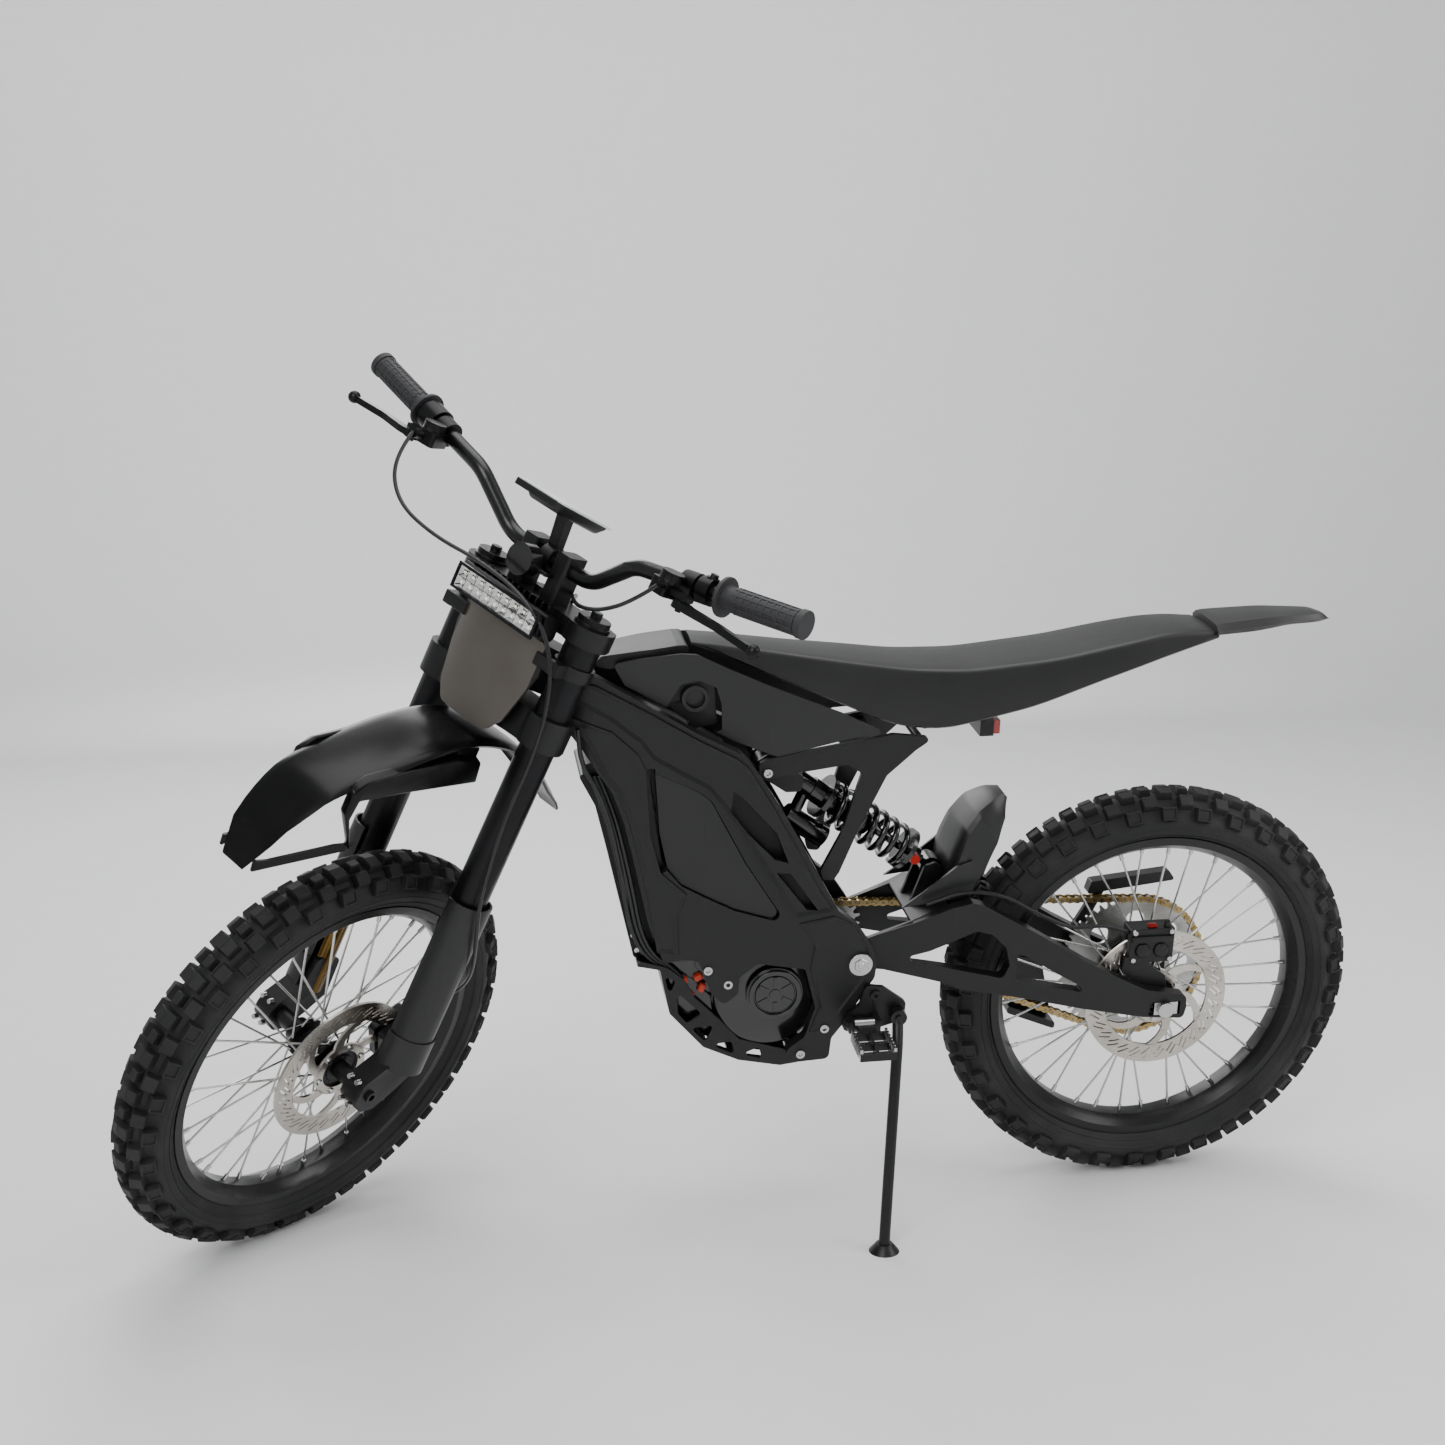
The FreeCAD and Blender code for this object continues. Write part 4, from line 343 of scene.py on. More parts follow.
def along(table: Sequence[Flat], x: float) -> float:
    """Return the value that a table of (place, value) rows has at one place, on straight runs."""
    for (x0, v0), (x1, v1) in zip(table, table[1:]):
        if x <= x1:
            share = min(max((x - x0) / (x1 - x0), 0.0), 1.0)
            return v0 + (v1 - v0) * share
    return table[-1][1]


def eased(table: Sequence[Flat], x: float, reach: float = 26.0) -> float:
    """Return a table's value averaged over a short stretch, so that its corners come out rounded."""
    low, high = table[0][0], table[-1][0]
    room = min(reach, x - low, high - x)
    places = [x + room * k / 4.0 for k in range(-4, 5)]
    return sum(along(table, at) for at in places) / len(places)


def mirrored(half: Sequence[Flat]) -> list[Flat]:
    """Close half a section, given as (side, height) from its right end, with its own mirror image."""
    return [*half, *((-side, height) for side, height in reversed(half))]


def stations(low: float, high: float, count: int) -> list[float]:
    """Return evenly spaced places from low to high, count gaps in all."""
    return [low + (high - low) * k / count for k in range(count + 1)]


# ---- meshes -------------------------------------------------------------------------------------------
class Blank:
    """A bmesh in millimetres, with the operators that shape it."""

    def __init__(self) -> None:
        """Start an empty blank."""
        self.bm = bmesh.new()

    def block(self, low: Point, high: Point, matrix: Matrix = Matrix.Identity(4)) -> list[bmesh.types.BMVert]:
        """Add a rectangular block.

        Args:
            low: lowest corner.
            high: highest corner.
            matrix: where the corners are measured.

        Returns:
            The block's vertices.
        """
        size = [high[k] - low[k] for k in range(3)]
        middle = Vector([(high[k] + low[k]) / 2.0 for k in range(3)])
        place = matrix @ Matrix.Translation(middle) @ Matrix.Diagonal((*size, 1.0))
        return bmesh.ops.create_cube(self.bm, size=1.0, matrix=place)["verts"]

    def cone(self, start: Vector, end: Vector, radius: float, end_radius: Optional[float] = None,
             segments: int = 32) -> list[bmesh.types.BMVert]:
        """Add a closed round bar or cone from one point to another.

        Args:
            start: centre of the first end.
            end: centre of the second end.
            radius: radius at the first end.
            end_radius: radius at the second end, or None for a straight bar.
            segments: sides of the round.

        Returns:
            The bar's vertices.
        """
        along = end - start
        turn = along.to_track_quat("Z", "Y").to_matrix().to_4x4()
        place = Matrix.Translation((start + end) / 2.0) @ turn
        return bmesh.ops.create_cone(self.bm, cap_ends=True, segments=segments, radius1=radius,
                                     radius2=radius if end_radius is None else end_radius, depth=along.length,
                                     matrix=place)["verts"]

    def prism(self, outline: Sequence[Vector], depth: Vector) -> list[bmesh.types.BMVert]:
        """Add a plate from a closed outline, extruded by a vector.

        Args:
            outline: the corners in order.
            depth: which way and how far it is extruded.

        Returns:
            The plate's vertices.
        """
        ring = [self.bm.verts.new(point) for point in outline]
        face = self.bm.faces.new(ring)
        grown = bmesh.ops.extrude_face_region(self.bm, geom=[face])["geom"]
        moved = [v for v in grown if isinstance(v, bmesh.types.BMVert)]
        bmesh.ops.translate(self.bm, verts=moved, vec=depth)
        bmesh.ops.recalc_face_normals(self.bm, faces=list({f for v in ring + moved for f in v.link_faces}))
        return ring + moved

    def plate(self, outline: Sequence[Flat], side: float, depth: float) -> list[bmesh.types.BMVert]:
        """Add a plate across the placement's side axis.

        Args:
            outline: the corners in order, as (first axis, third axis).
            side: where the plate starts.
            depth: how far it goes on from there, with its sign.

        Returns:
            The plate's vertices.
        """
        return self.prism([Vector((x, side, z)) for x, z in outline], Vector((0.0, depth, 0.0)))

    def boss(self, x: float, z: float, sides: Flat, radius: float, end_radius: Optional[float] = None,
             segments: int = 32) -> None:
        """Add a round bar or cone along the placement's side axis.

        Args:
            x: its place on the first axis.
            z: its place on the third axis.
            sides: where it starts and ends.
            radius: radius at the start.
            end_radius: radius at the end, or None for a straight bar.
            segments: sides of the round.
        """
        self.cone(Vector((x, sides[0], z)), Vector((x, sides[1], z)), radius, end_radius, segments)

    def spun(self, profile: Sequence[Vector], centre: Vector, axis: Vector, steps: int, closed: bool = True,
             turn: float = 2.0 * math.pi, rise: Vector = Vector((0.0, 0.0, 0.0))) -> None:
        """Spin a profile round an axis.

        Args:
            profile: the points of the profile in order.
            centre: a point on the axis.
            axis: the axis' direction.
            steps: how many steps the turn takes.
            closed: whether the profile's last point joins its first.
            turn: how far it turns, in radians.
            rise: how far each step moves it, for a coil.
        """
        ring = [self.bm.verts.new(point) for point in profile]
        pairs = list(zip(ring, ring[1:] + ring[:1])) if closed else list(zip(ring, ring[1:]))
        edges = [self.bm.edges.new(pair) for pair in pairs]
        full = turn >= 2.0 * math.pi - 1e-6 and rise.length < 1e-9
        bmesh.ops.spin(self.bm, geom=ring + edges, cent=centre, axis=axis, dvec=rise, angle=turn, steps=steps,
                       use_merge=full)

    def rounded(self, radius: float, segments: int = 2, angle: float = 30.0,
                verts: Optional[Iterable[bmesh.types.BMVert]] = None) -> None:
        """Round the sharp edges.

        Args:
            radius: how far back from each edge the rounding starts, in millimetres.
            segments: steps across each rounding.
            angle: edges that turn by more than this many degrees are rounded.
            verts: only edges between these vertices, or None for all.
        """
        chosen = None if verts is None else set(verts)
        sharp = [e for e in self.bm.edges
                 if len(e.link_faces) == 2 and e.calc_face_angle(0.0) > math.radians(angle)
                 and (chosen is None or (e.verts[0] in chosen and e.verts[1] in chosen))]
        bmesh.ops.bevel(self.bm, geom=sharp, offset=radius, offset_type="OFFSET", affect="EDGES",
                        segments=segments, profile=0.5, material=-1, clamp_overlap=True)

    def loft(self, sections: Sequence[Sequence[Vector]]) -> None:
        """Skin a row of closed sections that all have the same number of points, and cap both ends."""
        rings = [[self.bm.verts.new(point) for point in section] for section in sections]
        for first, second in zip(rings, rings[1:]):
            for k in range(len(first)):
                after = (k + 1) % len(first)
                self.bm.faces.new((first[k], first[after], second[after], second[k]))
        self.bm.faces.new(rings[0][::-1])
        self.bm.faces.new(rings[-1])

    def repeated(self, centre: Vector, axis: Vector, count: int) -> None:
        """Copy everything in the blank round an axis, count times in all."""
        bmesh.ops.spin(self.bm, geom=self.bm.verts[:] + self.bm.edges[:] + self.bm.faces[:], cent=centre,
                       axis=axis, angle=2.0 * math.pi * (count - 1) / count, steps=count - 1, use_duplicate=True)

    def piece(self, name: str, placement: Matrix, finish: Finish, smooth_angle: float = 35.0,
              recalc: bool = True, merge: float = 0.0005) -> bpy.types.Object:
        """Turn the blank into a piece in its place.

        Args:
            name: the piece's name.
            placement: carries the blank's millimetres into the frame.
            finish: what it is made of.
            smooth_angle: edges that turn by less than this many degrees shade smoothly.
            recalc: whether the faces are turned outwards.
            merge: vertices closer than this are merged, or 0 to leave them.

        Returns:
            The piece.
        """
        if merge > 0.0:
            bmesh.ops.remove_doubles(self.bm, verts=self.bm.verts, dist=merge)
        if recalc:
            bmesh.ops.recalc_face_normals(self.bm, faces=self.bm.faces)
        mesh = bpy.data.meshes.new(name)
        self.bm.transform(placement)
        self.bm.to_mesh(mesh)
        self.bm.free()
        mesh.polygons.foreach_set("use_smooth", [True] * len(mesh.polygons))
        mesh.set_sharp_from_angle(angle=math.radians(smooth_angle))
        piece = bpy.data.objects.new(name, mesh)
        bpy.context.scene.collection.objects.link(piece)
        mesh.materials.append(finish.material())
        LOG.info("%s: %d faces", name, len(mesh.polygons))
        return piece


@dataclass
class SubAssembly:
    """What every sub-assembly has: the placements and the CAD nodes it dresses."""

    place: Placement
    nodes: dict[str, bpy.types.Object]

    EDGE_ANGLE = 32.0
    SAME_POINT_M = 2e-6
    FLAT_DEG = 0.6

    @property
    def here(self) -> Matrix:
        """The placement whose millimetres the sub-assembly is drawn in."""
        return self.place.machine

    def dress(self, node: str, finish: Finish) -> None:
        """Give a CAD node its material."""
        slots = self.nodes[node].data.materials
        slots.clear()
        slots.append(finish.material())

    def painted(self, piece: bpy.types.Object, finish: Finish, test: Callable[[Vector], bool]) -> None:
        """Give a second finish to the faces of a piece that pass a test.

        Args:
            piece: the piece.
            finish: the finish of the chosen faces.
            test: whether a face with this centre is chosen.
        """
        mesh = piece.data
        mesh.materials.append(finish.material())
        back = self.here.inverted()
        for face in mesh.polygons:
            if test(back @ face.center):
                face.material_index = len(mesh.materials) - 1

    def carved(self, piece: bpy.types.Object, cutter: Blank) -> None:
        """Cut a blank out of a piece before anything else is done to it.

        Args:
            piece: the piece, still without modifiers.
            cutter: the blank.
        """
        tool = cutter.piece("cutter", self.here, PAINTED_SHADE_BLACK)
        cut = piece.modifiers.new("cut", "BOOLEAN")
        cut.object = tool
        cut.operation = "DIFFERENCE"
        cut.solver = "EXACT"
        done = piece.evaluated_get(bpy.context.evaluated_depsgraph_get())
        mesh = bpy.data.meshes.new_from_object(done)
        piece.modifiers.remove(cut)
        old, piece.data = piece.data, mesh
        bpy.data.meshes.remove(old)
        bpy.data.objects.remove(tool)

    @staticmethod
    def edged(piece: bpy.types.Object, width: float, angle: float, segments: int = 2) -> None:
        """Round a piece's sharp edges with a modifier.

        Args:
            piece: the piece.
            width: how wide each edge's rounding is, in millimetres.
            angle: edges that turn by more than this many degrees are rounded.
            segments: steps across each rounding.
        """
        bevel = piece.modifiers.new("rounded_edges", "BEVEL")
        bevel.width = width * MM
        bevel.segments = segments
        bevel.limit_method = "ANGLE"
        bevel.angle_limit = math.radians(angle)
        bevel.harden_normals = True

    def softened(self, node: str, body: str, slot: str, finish: Finish, width: float = 1.0,
                 segments: int = 2, cutter: Optional[Blank] = None,
                 dropped: Optional[Callable[[Vector], bool]] = None) -> bpy.types.Object:
        """Stand a copy with rounded edges in for a CAD node.

        Args:
            node: the CAD node.
            body: the body it rides on.
            slot: its material slot, not used.
            finish: what it is made of.
            width: how wide each edge's rounding is, in millimetres.
            segments: steps across each rounding.
            cutter: a blank cut out of the copy.
            dropped: faces whose centre passes this test are left out, where another piece stands in.

        Returns:
            The piece.
        """
        blank = Blank()
        blank.bm.from_mesh(self.nodes[node].data)
        bmesh.ops.remove_doubles(blank.bm, verts=blank.bm.verts, dist=self.SAME_POINT_M)
        bmesh.ops.dissolve_limit(blank.bm, angle_limit=math.radians(self.FLAT_DEG), verts=blank.bm.verts,
                                 edges=blank.bm.edges)
        if dropped is not None:
            back = self.here.inverted()
            gone = [f for f in blank.bm.faces if dropped(back @ f.calc_center_median())]
            bmesh.ops.delete(blank.bm, geom=gone, context="FACES")
        piece = blank.piece(f"{node}_finished", Matrix.Identity(4), finish, recalc=False, merge=0.0)
        if cutter is not None:
            self.carved(piece, cutter)
        self.edged(piece, width, self.EDGE_ANGLE, segments)
        self.mount(piece, body, slot, node)
        return piece

    def drawn_line(self, name: str, route: Sequence[Point], radius: float) -> bpy.types.Object:
        """Build a hose or lead on one smooth line.

        Args:
            name: the piece's name.
            route: the line's control points.
            radius: the hose's radius.

        Returns:
            The hose as a mesh piece.
        """
        curve = bpy.data.curves.new(name, "CURVE")
        curve.dimensions = "3D"
        curve.bevel_depth = radius * MM
        curve.bevel_resolution = 3
        curve.resolution_u = 10
        curve.use_fill_caps = True
        spline = curve.splines.new("NURBS")
        spline.points.add(len(route) - 1)
        for point, at in zip(spline.points, route):
            point.co = (*(self.here @ Vector(at)), 1.0)
        spline.order_u = 3
        spline.use_endpoint_u = True
        drawn = bpy.data.objects.new(name + "_line", curve)
        bpy.context.scene.collection.objects.link(drawn)
        mesh = bpy.data.meshes.new_from_object(drawn.evaluated_get(bpy.context.evaluated_depsgraph_get()))
        bpy.data.objects.remove(drawn)
        mesh.polygons.foreach_set("use_smooth", [True] * len(mesh.polygons))
        mesh.materials.clear()
        mesh.materials.append(HOSE_SHEATH.material())
        hose = bpy.data.objects.new(name, mesh)
        bpy.context.scene.collection.objects.link(hose)
        return hose

    def fitted(self, blank: Blank, name: str, finish: Finish, body: str, slot: str, *replaced: str,
               **shape: object) -> None:
        """Turn a blank into a piece of this sub-assembly and mount it.

        Args:
            blank: the blank.
            name: the piece's name.
            finish: what it is made of.
            body: the body it rides on.
            slot: its material slot, not used.
            replaced: the CAD nodes it stands in for.
            shape: more arguments of Blank.piece.
        """
        self.mount(blank.piece(name, self.here, finish, **shape), body, slot, *replaced)

    def mount(self, piece: bpy.types.Object, body: str, slot: str, *replaced: str) -> None:
        """Let a piece ride on a body and stand in for CAD nodes."""
        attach(piece, body)
        if replaced:
            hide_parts(*replaced)


# ---- wheels -------------------------------------------------------------------------------------------
@dataclass(frozen=True)
class Knob:
    """One tread block: where it stands on the tyre's section, and its size in millimetres."""

    lean_deg: float
    shift: float
    width: float
    length: float
    marked: bool = False


@dataclass
class Wheel(SubAssembly):
    """A spoked wheel with its knobbly tyre, rim, hub and disc."""

    end: str = "rear"
    centre: Vector = field(default_factory=lambda: Vector((0.0, 0.0, 318.0)))
    matrix: Matrix = field(default_factory=lambda: Matrix.Identity(4))
    outer: float = 318.0
    section: float = 43.5
    rim_half: float = 26.0
    bead: float = 240.5
    knob_height: float = 11.0
    disc_y: float = 50.0
    disc_t: float = 4.0
    pitches: int = 34
    steps: int = 136

    WALL_DEG = (-122, 123, 8)
    RINGS = ((101.0, 1.2), (118.0, 1.6))
    BEAD_LIP = ((1.5, 9.2), (-1.0, 4.0), (-2.0, 1.5))
    KNOB_ROOT = 3.5
    KNOB_SKIM = 0.25
    KNOB_FLARE = 1.6
    KNOB_TAPER = 0.86
    KNOB_EDGE = 0.9
    MARK_INSET = 3.4
    MARK_DEPTH = 1.6
    DISC_STEPS = 180
    DISC_BANDS = (80.0, 85.0, 91.0, 97.0, 103.0, 109.5)
    DISC_CENTRE = (30.0, 42.0)
    SLOT_EVERY = 6
    LEAN_FROM = 95.0
    LEAN = 0.011
    ARMS = 6
    ARM_STEPS = 10
    ARM_FROM = 40.0
    ARM_RUN = 42.0
    ARM_SWEEP = 0.55
    ARM_HALF = 7.5
    BOLT_RING = 36.0
    AXIS = Vector((0.0, 1.0, 0.0))
    KNOBS = (Knob(11.5, 0.0, 15.0, 19.0), Knob(-11.5, 0.0, 15.0, 19.0), Knob(67.0, 0.0, 19.0, 22.0, True),
             Knob(-67.0, 0.0, 19.0, 22.0, True), Knob(39.0, 0.5, 17.0, 20.0), Knob(-39.0, 0.5, 17.0, 20.0),
             Knob(0.0, 0.5, 11.0, 15.0))

    def build(self) -> None:
        """Build and dress the whole wheel."""
        self._tyre()
        self.softened(f"{self.end}_rim", self.body, "rim_black", SATIN_RIM, 0.8)
        self.softened(f"{self.end}_hub", self.body, "hub_black", BLACK_ANODISED, 0.8)
        self.dress(f"{self.end}_spokes", STAINLESS)
        self._disc()

    def _disc(self) -> None:
        """Build the brake disc: a slotted ring on curved arms and a bolted centre."""
        disc = Blank()
        face = self.centre + Vector((0.0, self.disc_y - self.disc_t / 2.0, 0.0))

        def cell(corners: Sequence[Flat]) -> None:
            """Add one flat cell from its (radius, angle) corners, leaning with the radius."""
            leaned = [(r, a + (r - self.LEAN_FROM) * self.LEAN) for r, a in corners]
            disc.bm.faces.new([disc.bm.verts.new(face + Vector((r * math.cos(a), 0.0, r * math.sin(a))))
                               for r, a in leaned])

        for k in range(self.DISC_STEPS):
            a0, a1 = (2.0 * math.pi * (k + j) / self.DISC_STEPS for j in (0, 1))
            for band, (r0, r1) in enumerate(zip(self.DISC_BANDS, self.DISC_BANDS[1:])):
                turn = k % self.SLOT_EVERY
                if not ((turn == 0 and band in (1, 2)) or (turn == self.SLOT_EVERY // 2 and band in (2, 3))):
                    cell(((r0, a0), (r1, a0), (r1, a1), (r0, a1)))
            r0, r1 = self.DISC_CENTRE
            cell(((r0, a0), (r1, a0), (r1, a1), (r0, a1)))
        for arm in range(self.ARMS):
            for step in range(self.ARM_STEPS):
                r0, r1 = (self.ARM_FROM + self.ARM_RUN * (step + j) / self.ARM_STEPS for j in (0, 1))
                a0, a1 = (2.0 * math.pi * arm / self.ARMS - (r - self.LEAN_FROM) * self.LEAN
                          + self.ARM_SWEEP * ((r - self.ARM_FROM) / self.ARM_RUN) ** 1.4 for r in (r0, r1))
                h0, h1 = self.ARM_HALF / r0, self.ARM_HALF / r1
                cell(((r0, a0 - h0), (r1, a1 - h1), (r1, a1 + h1), (r0, a0 + h0)))
        bmesh.ops.remove_doubles(disc.bm, verts=disc.bm.verts, dist=0.02)
        grown = bmesh.ops.extrude_face_region(disc.bm, geom=disc.bm.faces[:])["geom"]
        moved = [v for v in grown if isinstance(v, bmesh.types.BMVert)]
        bmesh.ops.translate(disc.bm, verts=moved, vec=(0.0, self.disc_t, 0.0))
        piece = disc.piece(f"{self.end}_slotted_disc", self.matrix, GROUND_STEEL, 30.0)
        self.mount(piece, self.body, "disc_steel", f"{self.end}_disc")
        bolts = Blank()
        out = face + Vector((0.0, self.disc_t, self.BOLT_RING))
        bolts.cone(out, out + self.AXIS * 3.0, 5.0, 4.2, 16)
        bolts.repeated(self.centre, self.AXIS, self.ARMS)
        self.mount(bolts.piece(f"{self.end}_disc_bolts", self.matrix, BRIGHT_STEEL), self.body, "bolt_steel")

    @property
    def body(self) -> str:
        """The body that the wheel turns as."""
        return f"{self.end}_wheel"

    def _on_section(self, lean: float, reach: float) -> Vector:
        """Return a point of the section from its lean off the tread's middle and reach from its centre."""
        middle = self.outer - self.section
        return self.centre + Vector((0.0, reach * math.sin(lean), middle + reach * math.cos(lean)))

    def _tyre(self) -> None:
        """Spin the casing and set the tread blocks on it."""
        casing = Blank()
        ground = self.section - self.knob_height
        profile = []
        for degrees in range(*self.WALL_DEG):
            lean = math.radians(degrees)
            share = min(max((abs(degrees) - 66.0) / 30.0, 0.0), 1.0)
            reach = ground + (self.knob_height - 2.0) * share * share * (3.0 - 2.0 * share)
            profile.append(self._on_section(lean, reach))
        for side in (1.0, -1.0):
            points = [self.centre + Vector((0.0, side * (self.rim_half + y), self.bead + r))
                      for y, r in self.BEAD_LIP]
            profile += points if side > 0 else points[::-1]
        casing.spun(profile, self.centre, self.AXIS, self.steps)
        self._rings(casing)
        tread = Blank()
        for knob in self.KNOBS:
            self._knob(tread, knob, ground)
        tread.repeated(self.centre, self.AXIS, self.pitches)
        mesh = bpy.data.meshes.new("tread")
        tread.bm.to_mesh(mesh)
        tread.bm.free()
        casing.bm.from_mesh(mesh)
        bpy.data.meshes.remove(mesh)
        tyre = casing.piece(f"{self.end}_knobbly_tyre", self.matrix, TYRE_RUBBER, 40.0, merge=0.0)
        self.mount(tyre, self.body, "tyre", f"{self.end}_tyre")

    def _rings(self, casing: Blank) -> None:
        """Raise the thin moulded rings on both side walls."""
        for side in (1.0, -1.0):
            for lean_deg, height in self.RINGS:
                at = self._on_section(side * math.radians(lean_deg), self.section - 2.2)
                ring = [at + Vector((0.0, math.cos(a) * height, math.sin(a) * height))
                        for a in (0.0, 1.57, 3.14, 4.71)]
                casing.spun(ring, self.centre, self.AXIS, self.steps)

    def _knob(self, tread: Blank, knob: Knob, ground: float) -> None:
        """Add one tapered block, with a sunk mark on the outer ones.

        Args:
            tread: the blank it joins.
            knob: the block's place and size.
            ground: how far the casing's surface is from the section's centre.
        """
        middle = self.outer - self.section
        spin = Matrix.Rotation(2.0 * math.pi * knob.shift / self.pitches, 4, "Y")
        lean = Matrix.Rotation(-math.radians(knob.lean_deg), 4, "X")
        place = Matrix.Translation(self.centre) @ spin @ Matrix.Translation((0.0, 0.0, middle)) @ lean
        back = place.inverted()
        low, high = ground - self.KNOB_ROOT, self.section - self.KNOB_SKIM
        half_l, half_w = knob.length / 2.0 + self.KNOB_FLARE, knob.width / 2.0 + self.KNOB_FLARE
        verts = tread.block((-half_l, -half_w, low), (half_l, half_w, high), place)
        top = sorted(verts, key=lambda v: (back @ v.co).z)[4:]
        centre = sum((v.co for v in top), Vector()) / 4.0
        for vert in top:
            vert.co = centre + (vert.co - centre) * self.KNOB_TAPER
        faces = [f for f in {f for v in top for f in v.link_faces} if all(v in top for v in f.verts)]
        if knob.marked:
            bmesh.ops.inset_individual(tread.bm, faces=faces, thickness=self.MARK_INSET)
            bmesh.ops.inset_individual(tread.bm, faces=faces, thickness=0.5, depth=-self.MARK_DEPTH)
        edges = [e for e in {e for v in verts for e in v.link_edges}
                 if all(v in verts for v in e.verts) and not all((back @ v.co).z < ground for v in e.verts)]
        bmesh.ops.bevel(tread.bm, geom=edges, offset=self.KNOB_EDGE, offset_type="OFFSET", affect="EDGES",
                        segments=1, profile=0.5, material=-1, clamp_overlap=True)


# ---- drive and rear suspension ------------------------------------------------------------------------
@dataclass
class ChainDrive(SubAssembly):
    """The chain with its links and rollers, and both sprockets."""

    rear: Flat = (0.0, 318.0)
    front: Flat = (466.0, 424.0)
    rear_teeth: int = 56
    front_teeth: int = 14
    pitch: float = 12.7
    links: int = 112
    line_y: float = -55.0
    plate_half_height: float = 5.2
    plate_t: float = 1.2
    roller_r: float = 3.9
    roller_half: float = 3.9
    pin_r: float = 2.2
    pin_half: float = 6.9
    inner_side: float = 4.0

    def build(self) -> None:
        """Build the chain and dress the sprockets."""
        plates, rollers = Blank(), Blank()
        pins = [self._pin(k) for k in range(self.links)]
        for k, (x, z) in enumerate(pins):
            self._link(plates, (x, z), pins[(k + 1) % self.links], outer=k % 2 == 0)
            for half, radius, segments in ((self.roller_half, self.roller_r, 10), (self.pin_half, self.pin_r, 8)):
                rollers.boss(x, z, (self.line_y - half, self.line_y + half), radius, segments=segments)
        self.fitted(plates, "chain_plates", GOLD_PLATE, "swingarm", "chain_gold", "chain")
        self.fitted(rollers, "chain_rollers", ROLLER_STEEL, "swingarm", "chain_gold")
        for node, body in (("rear_sprocket", "rear_wheel"), ("drive_sprocket", "drive_sprocket")):
            self.softened(node, body, "sprocket_steel", SPROCKET_STEEL, 0.3, segments=1)

    def _radius(self, teeth: int) -> float:
        """Return the radius of the circle through the pins on a sprocket."""
        return self.pitch / (2.0 * math.sin(math.pi / teeth))

    def _pin(self, index: int) -> Flat:
        """Return the (x, z) of one pin, counted along the closed loop.

        Args:
            index: the pin's number.

        Returns:
            Its place in the machine's millimetres.
        """
        big, small = self._radius(self.rear_teeth), self._radius(self.front_teeth)
        dx, dz = self.front[0] - self.rear[0], self.front[1] - self.rear[1]
        apart = math.hypot(dx, dz)
        base = math.atan2(dz, dx)
        open_angle = math.acos((big - small) / apart)
        run = math.sqrt(apart ** 2 - (big - small) ** 2)
        stretches = (run, 2.0 * open_angle * small, run, (2.0 * math.pi - 2.0 * open_angle) * big)
        at = (index / self.links) * sum(stretches)
        up, down = base + open_angle, base - open_angle

        def rim(centre: Flat, radius: float, angle: float) -> Flat:
            """Return a point of a sprocket's pin circle."""
            return centre[0] + radius * math.cos(angle), centre[1] + radius * math.sin(angle)

        def straight(start: Flat, end: Flat) -> Flat:
            """Return the pin's place on a straight run."""
            return tuple(a + (b - a) * at / run for a, b in zip(start, end))

        if at < stretches[0]:
            return straight(rim(self.rear, big, up), rim(self.front, small, up))
        at -= stretches[0]
        if at < stretches[1]:
            return rim(self.front, small, up - at / small)
        at -= stretches[1]
        if at < stretches[2]:
            return straight(rim(self.front, small, down), rim(self.rear, big, down))
        return rim(self.rear, big, down - (at - stretches[2]) / big)

    def _link(self, plates: Blank, first: Flat, second: Flat, outer: bool) -> None:
        """Add one link's two waisted plates.

        Args:
            plates: the blank they join.
            first: the (x, z) of the link's first pin.
            second: the (x, z) of its second pin.
            outer: whether the plates lie outside their neighbours.
        """
        angle = math.atan2(second[1] - first[1], second[0] - first[0])
        length = math.hypot(second[0] - first[0], second[1] - first[1])
        half = self.plate_half_height
        shape = [(-half, 0.0), (-half * 0.7, half * 0.72), (0.0, half), (length * 0.5, half * 0.68),
                 (length, half), (length + half * 0.7, half * 0.72), (length + half, 0.0)]
        shape += [(u, -v) for u, v in reversed(shape[1:-1])]
        for side in (1.0, -1.0):
            y = self.line_y + side * (self.inner_side + (self.plate_t + 0.1 if outer else 0.0))
            ring = [Vector((first[0] + u * math.cos(angle) - v * math.sin(angle), y,
                            first[1] + u * math.sin(angle) + v * math.cos(angle))) for u, v in shape]
            plates.prism(ring, Vector((0.0, side * self.plate_t, 0.0)))


